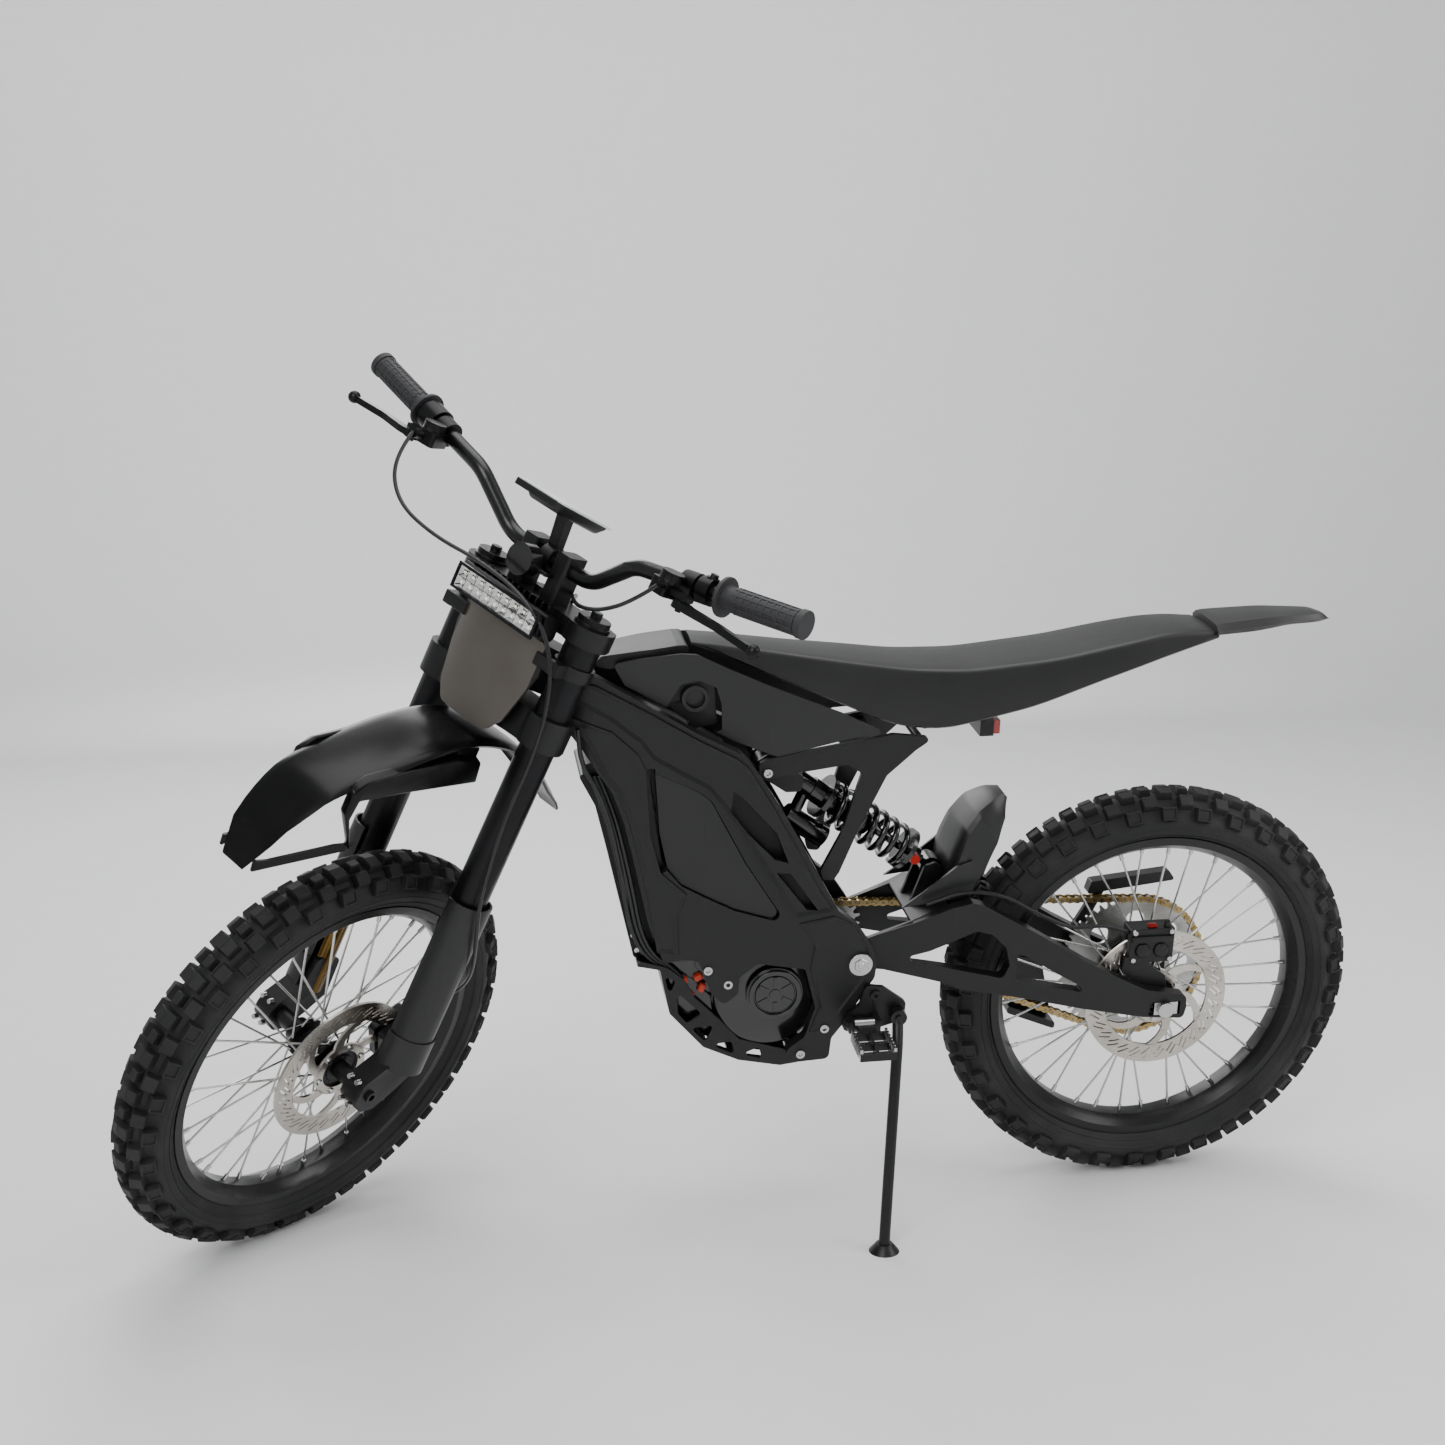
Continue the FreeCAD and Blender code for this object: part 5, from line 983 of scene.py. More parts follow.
@dataclass
class RearSuspension(SubAssembly):
    """Swingarm, hugger, guides, axle, caliper and the shock with its coil."""

    top: Point = (555.0, 0.0, 680.0)
    low: Point = (348.0, 0.0, 532.0)
    spring_from: float = 62.0
    spring_to: float = 205.0
    spring_r: float = 27.0
    wire_r: float = 4.6
    turns: int = 7
    steps_per_turn: int = 28

    SPINE = ((24, 362), (30, 384), (36, 404), (42, 419), (47, 424), (51, 418), (53, 411))
    LIP = ((24, 352), (30, 353), (38, 358), (45, 371), (50, 388), (53, 405))
    HALF = ((24, 58), (38, 56), (46, 47), (50, 36), (53, 18))
    HUGGER_DEG = (24.0, 53.0)
    WING = ((400, 492), (372, 512), (344, 534), (322, 552), (300, 560), (292, 530), (300, 506), (314, 502))
    CALIPER_PISTONS = ((6.0, 404.0), (34.0, 404.0))
    CALIPER_BOLTS = ((-8.0, 390.0), (48.0, 390.0), (-8.0, 434.0), (48.0, 434.0))
    CALIPER_FACE = 66.0
    DRESSED = (("chain_guides", "swingarm", "body_plastic", MOULDED_PP, 1.0),
               ("rear_axle", "swingarm", "bolt_steel", BRIGHT_STEEL, 0.8),
               ("rear_caliper", "swingarm", "caliper_black", POWDER_COAT, 1.2),
               ("shock_body", "shock_body", "shock_black", GLOSS_ENAMEL, 0.8),
               ("shock_rod", "shock_rod", "shock_black", GLOSS_ENAMEL, 0.6))

    def build(self) -> None:
        """Build the coil, hugger and small details, and dress the rest."""
        self._coil()
        self.softened("swingarm", "swingarm", "cast_frame", POWDER_COAT, 3.0, segments=3)
        self._hugger()
        self._caliper_details()
        for row in self.DRESSED:
            self.softened(*row)
        knob = Blank()
        low = Vector(self.low)
        damper = (low - Vector(self.top)).normalized()
        at = low - damper * 34.0 + Vector((0.0, 16.0, 0.0))
        knob.boss(at.x, at.z, (at.y, at.y + 12.0), 8.0, 7.2, 24)
        self.fitted(knob, "rebound_knob", RED_ANODISED, "shock_rod", "shock_black")

    def _hugger(self) -> None:
        """Skin the small mudguard: a channel round the tyre that narrows upwards to a rounded tip."""
        sections = []
        for degrees in stations(*self.HUGGER_DEG, 29):
            angle = math.radians(degrees)
            outer, rear, half = (along(t, degrees) for t in (self.SPINE, self.LIP, self.HALF))
            out = Vector((math.cos(angle), 0.0, math.sin(angle)))
            shape = [(rear, half), (outer - 8.0, half - 1.0), (outer - 2.0, half * 0.86), (outer, half * 0.5)]
            shape += [(r, -y) for r, y in reversed(shape)]
            inner = [(r - 3.0, y * 0.95) for r, y in reversed(shape)]
            sections.append([Vector((0.0, y, Placement.REAR_AXLE_HEIGHT)) + out * r for r, y in shape + inner])
        blank = Blank()
        blank.loft(sections)
        for sign in (1.0, -1.0):
            blank.plate(self.WING, sign * 55.0, sign * 4.0)
        self.fitted(blank, "hugger_channel", MOULDED_PP, "swingarm", "body_plastic", "hugger",
                    smooth_angle=38.0)

    def _caliper_details(self) -> None:
        """Add the rear caliper's piston bosses, bolts, bleed screw and red clip."""
        bosses, bolts, clip = Blank(), Blank(), Blank()
        for x, z in self.CALIPER_PISTONS:
            bosses.boss(x, z, (self.CALIPER_FACE, self.CALIPER_FACE + 4.5), 12.0, 10.0)
        bosses.cone(Vector((-4.0, 58.0, 436.0)), Vector((-4.0, 58.0, 448.0)), 5.0, 4.0, 16)
        bosses.block((-12.0, 56.0, 418.0), (52.0, 69.5, 428.0))
        bosses.rounded(1.5, 2, 40.0)
        for x, z in self.CALIPER_BOLTS:
            bolts.boss(x, z, (self.CALIPER_FACE, self.CALIPER_FACE + 4.0), 4.4, 3.8, 6)
        clip.block((12.0, 52.0, 438.0), (26.0, 62.0, 442.5))
        clip.rounded(1.2, 2, 40.0)
        for blank, name, finish, slot in ((bosses, "rear_caliper_bosses", POWDER_COAT, "caliper_black"),
                                          (bolts, "rear_caliper_bolts", BRIGHT_STEEL, "bolt_steel"),
                                          (clip, "rear_caliper_clip", RED_ANODISED, "caliper_black")):
            self.fitted(blank, name, finish, "swingarm", slot)

    def _coil(self) -> None:
        """Wind the spring between its seats."""
        top = Vector(self.top)
        damper = (Vector(self.low) - top).normalized()
        across = damper.cross(Vector((0.0, 1.0, 0.0)))
        length = self.spring_to - self.spring_from - 2.0 * self.wire_r - 1.0
        first = top + damper * (self.spring_from + self.wire_r + 0.5)
        ring = [first + across * (self.spring_r + self.wire_r * math.cos(a)) + damper * self.wire_r * math.sin(a)
                for a in [2.0 * math.pi * k / 12 for k in range(12)]]
        steps = self.turns * self.steps_per_turn
        coil = Blank()
        coil.spun(ring, first, damper, steps, turn=2.0 * math.pi * self.turns, rise=damper * (length / steps))
        bmesh.ops.holes_fill(coil.bm, edges=[e for e in coil.bm.edges if e.is_boundary], sides=0)
        spring = coil.piece("shock_coil", self.here, GLOSS_ENAMEL)
        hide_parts("shock_spring")
        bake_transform(spring)


# ---- frame and bodywork -------------------------------------------------------------------------------
@dataclass(frozen=True)
class Rib:
    """A raised member of the cast frame: its outline, how far it stands out, and its edge's slope."""

    name: str
    outline: tuple[Flat, ...]
    height: float
    slope: float
    pierced: bool = False


@dataclass
class Chassis(SubAssembly):
    """Cast frame, battery, motor and what bolts to them."""

    SIDE_PLAN = ((400.0, 91.0), (585.0, 91.0), (690.0, 84.0), (840.0, 56.0), (890.0, 42.0))
    RIBS = (
        Rib("upper_spar", ((876, 852), (836, 843), (766, 806), (708, 773), (648, 742), (631, 727), (596, 668),
                           (560, 602), (529, 542), (508, 509), (562, 503), (602, 570), (648, 650), (688, 700),
                           (728, 721), (762, 741), (778, 763), (820, 796), (872, 824)), 4.0, 6.0, True),
        Rib("down_member", ((876, 800), (850, 762), (828, 716), (808, 688), (794, 650), (781, 594), (769, 538),
                            (755, 450), (725, 446), (727, 507), (714, 540), (750, 573), (764, 628), (770, 724),
                            (780, 746), (815, 778)), 3.0, 8.0),
        Rib("pivot_plate", ((556, 492), (506, 501), (478, 486), (456, 450), (448, 424), (460, 396), (488, 356),
                            (508, 322), (537, 318), (524, 358), (538, 420), (532, 456)), 2.2, 4.0),
    )
    POCKETS = (((652, 694), (634, 679), (592, 632), (574, 586), (594, 592), (630, 630), (655, 664)),
               ((590, 571), (571, 570), (530, 511), (546, 513)))
    PANEL_SLOT = ((770, 726), (758, 726), (751, 629), (740, 576), (750, 571), (764, 626))
    POCKET_DEPTH = 16.0
    RIB_SHOULDER = 0.45
    RIB_ROOT = 1.5
    SCREWS = ((803, 626), (795, 569), (787, 512), (780, 470), (775, 446))
    # Outline of the dark sheet that paints the shade inside the duct behind the controller.
    DUCT_SHADE_OUTLINE = ((752, 452), (783, 444), (797, 500), (818, 600), (833, 668), (850, 726), (812, 740), (780, 700),
             (772, 600), (752, 520))
    TRAY = ((742, 418), (728, 356), (684, 305), (634, 281), (574, 268), (560, 272), (575, 300), (640, 330),
            (700, 400))
    MOTOR = Vector((594.0, -50.0, 366.0))
    CAP = Vector((587.0, 84.0, 380.0))
    PIVOT = (466.0, 424.0)
    PLUGS = ((694.0, 402.0, 0.5), (706.0, 374.0, 0.8), (716.0, 398.0, 0.2), (689.0, 385.0, 1.1))
    LEAD = ((846, 50, 712), (826, 56, 660), (812, 58, 600), (800, 60, 540), (790, 62, 480), (772, 64, 442),
            (740, 62, 416))
    LEAD_END = (716, 60, 400)
    LEAD_SHIFTS = (0.0, 7.0, 13.0)
    LEAD_R = 3.2
    PEG_TOP = 341.5
    CUT_DEPTH = 60.0
    OUT = Vector((0.0, 1.0, 0.0))
    DRESSED = (("battery_covers", "battery_panel", TEXTURED_ABS, 1.5),
               ("controller", "controller_alloy", BLACK_ANODISED, 1.0),
               ("motor", "motor_black", GLOSS_ENAMEL, 2.0, 3),
               ("skid_plate", "skid_alloy", POWDER_COAT, 1.0),
               ("subframe", "cast_frame", POWDER_COAT, 1.5),
               ("peg_brackets", "skid_alloy", POWDER_COAT, 1.0),
               ("frame_bolts", "bolt_steel", BRIGHT_STEEL, 0.6))

    def build(self) -> None:
        """Build the frame's relief and contents, and dress the rest."""
        self._shells()
        self.softened("frame_core", "frame", "cast_frame", POWDER_COAT, 1.5)
        self.softened("battery", "frame", "battery_case", MOULDED_PP, 1.5)
        slot = Blank()
        for sign in (1.0, -1.0):
            slot.plate(self.PANEL_SLOT, sign * 50.0, sign * self.CUT_DEPTH)
        for node, *row in self.DRESSED:
            self.softened(node, "frame", *row, cutter=slot if node == "battery_covers" else None)
        for side in ("left", "right"):
            peg = self.softened(f"footpeg_{side}", f"footpeg_{side}", "peg_steel", POWDER_COAT, 0.8)
            self.painted(peg, BRIGHT_STEEL, lambda at: at.z > self.PEG_TOP)
        self.softened("side_stand", "side_stand", "stand_steel", POWDER_COAT, 1.0)
        self.dress("wiring", HOSE_SHEATH)
        self._motor_details()
        self._front_details()

    def _side(self, x: float) -> float:
        """Return how far out the shell's flat side is at a distance along the machine."""
        for (x0, y0), (x1, y1) in zip(self.SIDE_PLAN, self.SIDE_PLAN[1:]):
            if x <= x1:
                return y0 + (y1 - y0) * max(x - x0, 0.0) / (x1 - x0)
        return self.SIDE_PLAN[-1][1]

    def _shells(self) -> None:
        """Cut the deep pockets out of both shells, lay plates of painted shade on their floors, and raise their
        ribs.
        """
        for side, sign in (("left", 1.0), ("right", -1.0)):
            cutter, floors = Blank(), Blank()
            for outline in (*self.POCKETS, self.PANEL_SLOT):
                floor = min(self._side(x) for x, _ in outline) - self.POCKET_DEPTH
                cutter.plate(outline, sign * floor, sign * self.CUT_DEPTH)
                if outline in self.POCKETS:
                    # Painted shade: a darker plate at each pocket's floor stands in for the shadow there.
                    floors.plate(outline, sign * (floor - 1.0), sign * 2.0)
            self.fitted(floors, f"pocket_floors_{side}", PAINTED_SHADE_BLACK, "frame", "cast_frame")
            self.softened(f"frame_shell_{side}", "frame", "cast_frame", POWDER_COAT, 2.0, segments=3,
                          cutter=cutter)
            for rib in self.RIBS:
                self.mount(self._rib(rib, sign, f"{rib.name}_{side}"), "frame", "cast_frame")

    def _rib(self, rib: Rib, sign: float, name: str) -> bpy.types.Object:
        """Raise one rib on a shell's side, following its bends.

        Args:
            rib: the rib.
            sign: 1 on the left, -1 on the right.
            name: the piece's name.

        Returns:
            The piece.
        """
        blank = Blank()
        blank.plate(rib.outline, 0.0, 1.0)
        top = [f for f in blank.bm.faces if all(v.co.y > 0.9 for v in f.verts)]
        rim = {v for f in top for v in f.verts}
        bmesh.ops.inset_region(blank.bm, faces=top, thickness=rib.slope, use_even_offset=True)
        for vert in rim:
            vert.co.y = self.RIB_SHOULDER
        for x, _ in self.SIDE_PLAN[1:-1]:
            everything = blank.bm.verts[:] + blank.bm.edges[:] + blank.bm.faces[:]
            bmesh.ops.bisect_plane(blank.bm, geom=everything, plane_co=(x, 0.0, 0.0), plane_no=(1.0, 0.0, 0.0))
        for vert in blank.bm.verts:
            proud = vert.co.y * (rib.height + self.RIB_ROOT)
            vert.co.y = sign * (self._side(vert.co.x) - self.RIB_ROOT + proud)
        piece = blank.piece(name, self.here, POWDER_COAT, 20.0)
        if rib.pierced:
            cutter = Blank()
            for outline in self.POCKETS:
                cutter.plate(outline, sign * 20.0, sign * 100.0)
            self.carved(piece, cutter)
        self.edged(piece, 1.2, 12.0)
        return piece

    def _motor_details(self) -> None:
        """Add the motor's cap relief, its inner housing, a dark sheet of painted shade in the duct, the pivot nut
        and the high-voltage connectors.
        """
        cap, spokes, housing, shade_sheet, nut, plugs = (Blank() for _ in range(6))
        cap.cone(self.CAP, self.CAP + self.OUT * 2.0, 29.0, 28.0, 48)
        spokes.block((-3.0, 0.0, 12.0), (3.0, 3.4, 27.0), Matrix.Translation(self.CAP))
        spokes.repeated(self.CAP, self.OUT, 6)
        cap.cone(self.CAP, self.CAP + self.OUT * 3.6, 9.0, 8.0, 32)
        housing.cone(self.MOTOR, self.MOTOR + self.OUT * 112.0, 82.0, 82.0, 64)
        housing.cone(self.MOTOR + self.OUT * 112.0, self.MOTOR + self.OUT * 120.0, 82.0, 70.0, 64)
        housing.block((600.0, -50.0, 372.0), (738.0, 56.0, 430.0))
        housing.block((590.0, -50.0, 420.0), (770.0, 40.0, 470.0))
        housing.plate(self.TRAY, -58.0, 116.0)
        housing.rounded(5.0, 2, 40.0)
        # Painted shade: a dark sheet across the duct.
        shade_sheet.plate(self.DUCT_SHADE_OUTLINE, -44.0, 88.0)
        nut.boss(*self.PIVOT, (97.0, 99.2), 11.0, 9.5, 6)
        nut.boss(*self.PIVOT, (99.2, 100.4), 5.0, 4.0, 24)
        for x, z, turn in self.PLUGS:
            plugs.block((-6.5, -8.0, -4.5), (6.5, 3.0, 4.5),
                        Matrix.Translation((x, 62.0, z)) @ Matrix.Rotation(turn, 4, "Y"))
        plugs.rounded(2.0, 2, 40.0)
        for blank, name, finish, slot in ((cap, "motor_cap_disc", GLOSS_ENAMEL, "motor_black"),
                                          (spokes, "motor_cap_ribs", GLOSS_ENAMEL, "motor_black"),
                                          (shade_sheet, "duct_shade_sheet", PAINTED_SHADE_BLACK, "controller_alloy"),
                                          (nut, "pivot_nut", BRIGHT_STEEL, "bolt_steel"),
                                          (housing, "motor_housing", GLOSS_ENAMEL, "motor_black"),
                                          (plugs, "phase_connectors", ORANGE_SILICONE, "skid_alloy")):
            self.fitted(blank, name, finish, "frame", slot)

    def _front_details(self) -> None:
        """Add the controller's side screws and the leads that run down beside it."""
        screws = Blank()
        for x, z in self.SCREWS:
            for sign in (1.0, -1.0):
                screws.boss(x + 6.0, z, (sign * 48.0, sign * 53.5), 4.6, 3.8, 20)
        self.fitted(screws, "controller_screws", BRIGHT_STEEL, "frame", "bolt_steel")
        for k, shift in enumerate(self.LEAD_SHIFTS):
            route = [(x - shift, y, z) for x, y, z in self.LEAD] + [self.LEAD_END]
            lead = self.drawn_line(f"battery_lead_{k}", route, self.LEAD_R)
            self.mount(lead, "frame", "hose_rubber")


@dataclass
class Bodywork(SubAssembly):
    """Seat, covers, side panels and tail."""

    SEAT_TOP = ((-44, 884), (-30, 890), (29, 890), (116, 875), (189, 861), (319, 848), (405, 851), (560, 873),
                (660, 889), (704, 893))
    SEAT_LOW = ((-44, 874), (47, 851), (120, 829), (227, 793), (334, 769), (362, 765), (424, 771), (490, 799),
                (575, 834), (660, 872), (704, 888))
    SEAT_HALF = ((-44, 44), (80, 65), (220, 73), (360, 73), (480, 61), (600, 43), (704, 30))
    TAIL_TOP = ((-222, 890), (-210, 900), (-129, 901), (-46, 896), (-40, 894))
    TAIL_LOW = ((-222, 888), (-214, 887), (-150, 888), (-100, 882), (-40, 880))
    TAIL_HALF = ((-222, 12), (-200, 24), (-130, 38), (-40, 48))
    SEAT_STATIONS = 60
    TAIL_STATIONS = 24
    ROLL_ANGLES = (0.15, 0.5, 0.85, 1.2, 1.5)

    def build(self) -> None:
        """Build the seat and tail, and dress the covers."""
        self.softened("tank_cover", "frame", "body_plastic", TEXTURED_ABS, 2.5, segments=3)
        self.softened("side_panels", "frame", "body_plastic", MOULDED_PP, 1.6)
        self._tail()
        light = self.softened("tail_light", "frame", "lamp_red", POWDER_COAT, 1.5)
        self.painted(light, RED_LENS, lambda at: at.x < 273.0 and 737.0 < at.z < 763.0)
        self._seat()

    def _seat(self) -> None:
        """Skin the seat: flat sides that lean in, a crisp rolled edge, and a slightly crowned top."""
        sections = []
        for x in stations(self.SEAT_TOP[0][0], self.SEAT_TOP[-1][0], self.SEAT_STATIONS):
            top, base, half = (eased(t, x) for t in (self.SEAT_TOP, self.SEAT_LOW, self.SEAT_HALF))
            top = max(top, base + 4.0)
            deep = top - base
            lean = min(0.16 * deep, 0.22 * half)
            roll = min(9.0, 0.4 * deep, 0.3 * half)
            corner = (half - lean - roll, top - roll)
            outline = [(half - 5.0, base), (half - 1.2, base + min(3.0, deep * 0.3)),
                       (half - lean * 0.35, base + deep * 0.45)]
            outline += [(corner[0] + roll * math.cos(a), corner[1] + (roll - 1.5) * math.sin(a))
                        for a in self.ROLL_ANGLES]
            outline += [(corner[0] * 0.6, top - 0.8), (corner[0] * 0.25, top - 0.2)]
            sections.append([Vector((x, y, z)) for y, z in mirrored(outline)])
        blank = Blank()
        blank.loft(sections)
        seat = blank.piece("seat_cover_skin", self.here, GRAINED_VINYL, 45.0)
        self.mount(seat, "frame", "seat_cover", "seat")

    def _tail(self) -> None:
        """Skin the thin tail behind the seat."""
        sections = []
        for x in stations(self.TAIL_TOP[0][0], self.TAIL_TOP[-1][0], self.TAIL_STATIONS):
            top, base, half = (eased(t, x, 12.0) for t in (self.TAIL_TOP, self.TAIL_LOW, self.TAIL_HALF))
            top = max(top, base + 2.0)
            outline = [(half - 4.0, base), (half, base + (top - base) * 0.4), (half * 0.8, top - 1.0),
                       (half * 0.3, top)]
            sections.append([Vector((x, y, z)) for y, z in mirrored(outline)])
        blank = Blank()
        blank.loft(sections)
        self.fitted(blank, "tail_skin", MOULDED_PP, "frame", "body_plastic", "tail_fender",
                    smooth_angle=30.0)


# ---- fork and cockpit ---------------------------------------------------------------------------------
@dataclass
class ForkAssembly(SubAssembly):
    """Fork clamps, tubes, guards, axle, mudguard, plate and lamp."""

    BLADE_TOP = ((-212, 400), (-205, 410), (-120, 470), (-40, 516), (40, 531), (107, 523), (152, 505), (220, 477),
                 (300, 437), (336, 380), (350, 326), (352, 320))
    BLADE_HALF = ((-212, 20), (-120, 42), (-40, 54), (60, 56), (160, 60), (240, 57), (310, 50), (342, 44),
                  (352, 22))
    BLADE_STATIONS = 48
    WING = ((226, 366), (250, 414), (246, 440), (180, 452), (46, 470), (52, 500), (98, 503), (180, 486),
            (244, 468), (262, 452), (262, 420))
    TIP = ((349, 321), (330, 327), (228, 358), (214, 371), (244, 366), (334, 338), (351, 336))
    LAMP_CELLS = 9
    LAMP_HALF = 75.0
    LAMP_HEIGHT = 704.5
    LAMP_ROWS = (-7.0, 7.0)
    LAMP_MOUTH = 86.4
    LAMP_FLOOR = 82.6
    BEZEL = (((84, -79, 719), (89, 79, 723)), ((84, -79, 686), (89, 79, 690)),
             ((84, -79, 690), (89, -75.5, 719)), ((84, 75.5, 690), (89, 79, 719)))
    QUARTERS = ((-1, -1), (1, -1), (1, 1), (-1, 1))
    LEG_SIDE = 100.0
    PLATE_EDGE = 77.0
    PLATE_BACK = 38.0
    FOOT_TOP = 95.0

    @property
    def here(self) -> Matrix:
        """The fork's placement."""
        return self.place.fork

    def build(self) -> None:
        """Dress the fork and build what hangs on it."""
        self.softened("triple_clamps", "steering", "clamp_alloy", POWDER_COAT, 1.5)
        self.softened("fork_outer_tubes", "steering", "fork_tube", BLACK_ANODISED, 0.8)
        legs = self.softened("fork_sliders", "fork_lower", "fork_gold", GOLD_NITRIDE, 1.0)
        self.painted(legs, POWDER_COAT, lambda at: at.z < self.FOOT_TOP)
        self.softened("fork_guards", "fork_lower", "body_plastic", MOULDED_PP, 1.2)
        self.softened("front_caliper", "fork_lower", "caliper_black", POWDER_COAT, 1.2)
        plate = self.softened("number_plate", "steering", "plate_grey", GREY_LACQUER, 1.0)
        self.painted(plate, POWDER_COAT, lambda at: abs(at.y) > self.PLATE_EDGE or at.x < self.PLATE_BACK)
        self._foot_bolts()
        self._mudguard()
        self._headlight()

    def _foot_bolts(self) -> None:
        """Add the axle clamp bolts, two above and two below the axle on each foot."""
        bolts = Blank()
        for leg in (self.LEG_SIDE, -self.LEG_SIDE):
            for height in (-16.0, 20.0):
                for side in (-8.0, 8.0):
                    at = Vector((74.0, leg + side, height))
                    bolts.cone(at, at + Vector((7.0, 0.0, 0.0)), 4.2, 3.6, 16)
        self.fitted(bolts, "axle_clamp_bolts", BRIGHT_STEEL, "fork_lower", "bolt_steel")

    def _mudguard(self) -> None:
        """Skin the high mudguard's crowned blade, and add its side wings."""
        sections = []
        for lead in stations(self.BLADE_TOP[0][0], self.BLADE_TOP[-1][0], self.BLADE_STATIONS):
            top, half = eased(self.BLADE_TOP, lead, 40.0), eased(self.BLADE_HALF, lead, 30.0)
            crown = min(max((345.0 - lead) / 80.0, 0.0), 1.0) * min(max((lead + 212.0) / 60.0, 0.0), 1.0)
            upper = []
            for j in range(-8, 9):
                share = j / 8.0
                drop = crown * (4.0 * share * share + 6.0 * max(abs(share) - 0.85, 0.0) / 0.15)
                upper.append((half * share, top - drop))
            lower = [(side * 0.94, height - 4.0) for side, height in reversed(upper)]
            sections.append([Vector((lead, side, height)) for side, height in upper + lower])
        blade = Blank()
        blade.loft(sections)
        self.fitted(blade, "mudguard_blade", GLOSS_ABS, "steering", "gloss_plastic", "front_fender",
                    smooth_angle=40.0)
        wings = Blank()
        for sign in (1.0, -1.0):
            verts = wings.plate(self.WING, sign * 48.0, sign * 14.0)
            for vert in verts:
                if abs(vert.co.y) > 60.0:
                    vert.co.z -= 5.0
            wings.rounded(3.0, 3, 30.0, verts)
            wings.prism([Vector((lead, sign * (30.0 + (350.0 - lead) * 0.15), height))
                         for lead, height in self.TIP], Vector((0.0, sign * 4.0, 0.0)))
        wings.block((56.0, -52.0, 474.0), (96.0, 52.0, 512.0))
        self.fitted(wings, "mudguard_wings", GLOSS_ABS, "steering", "gloss_plastic")

    def _headlight(self) -> None:
        """Keep the lamp's finned body and build its reflector cells, light sources and bezel."""
        self.softened("headlight", "steering", "lamp_body", BLACK_ANODISED, 0.8)
        cells, dies, rim = Blank(), Blank(), Blank()
        pitch = 2.0 * self.LAMP_HALF / self.LAMP_CELLS
        for k in range(self.LAMP_CELLS):
            side = -self.LAMP_HALF + pitch * (k + 0.5)
            for row in self.LAMP_ROWS:
                height = self.LAMP_HEIGHT + row
                mouth, floor = ([cells.bm.verts.new((lead, side + a * wide, height + b * high))
                                 for a, b in self.QUARTERS]
                                for lead, wide, high in ((self.LAMP_MOUTH, pitch * 0.48, 6.6),
                                                         (self.LAMP_FLOOR, 2.2, 2.0)))
                for j in range(4):
                    cells.bm.faces.new((mouth[j], mouth[(j + 1) % 4], floor[(j + 1) % 4], floor[j]))
                cells.bm.faces.new(floor)
                dies.block((82.9, side - 1.8, height - 1.6), (83.8, side + 1.8, height + 1.6))
        self.fitted(cells, "lamp_reflectors", REFLECTOR, "steering", "lamp_body", smooth_angle=5.0, recalc=False)
        # The LED dies carry a painted glow; the lamp is not lit.
        self.fitted(dies, "lamp_sources", LED_DIE, "steering", "lamp_body")
        for low, high in self.BEZEL:
            rim.block(low, high)
        rim.rounded(0.8, 2, 40.0)
        self.fitted(rim, "lamp_bezel", BLACK_ANODISED, "steering", "lamp_body")


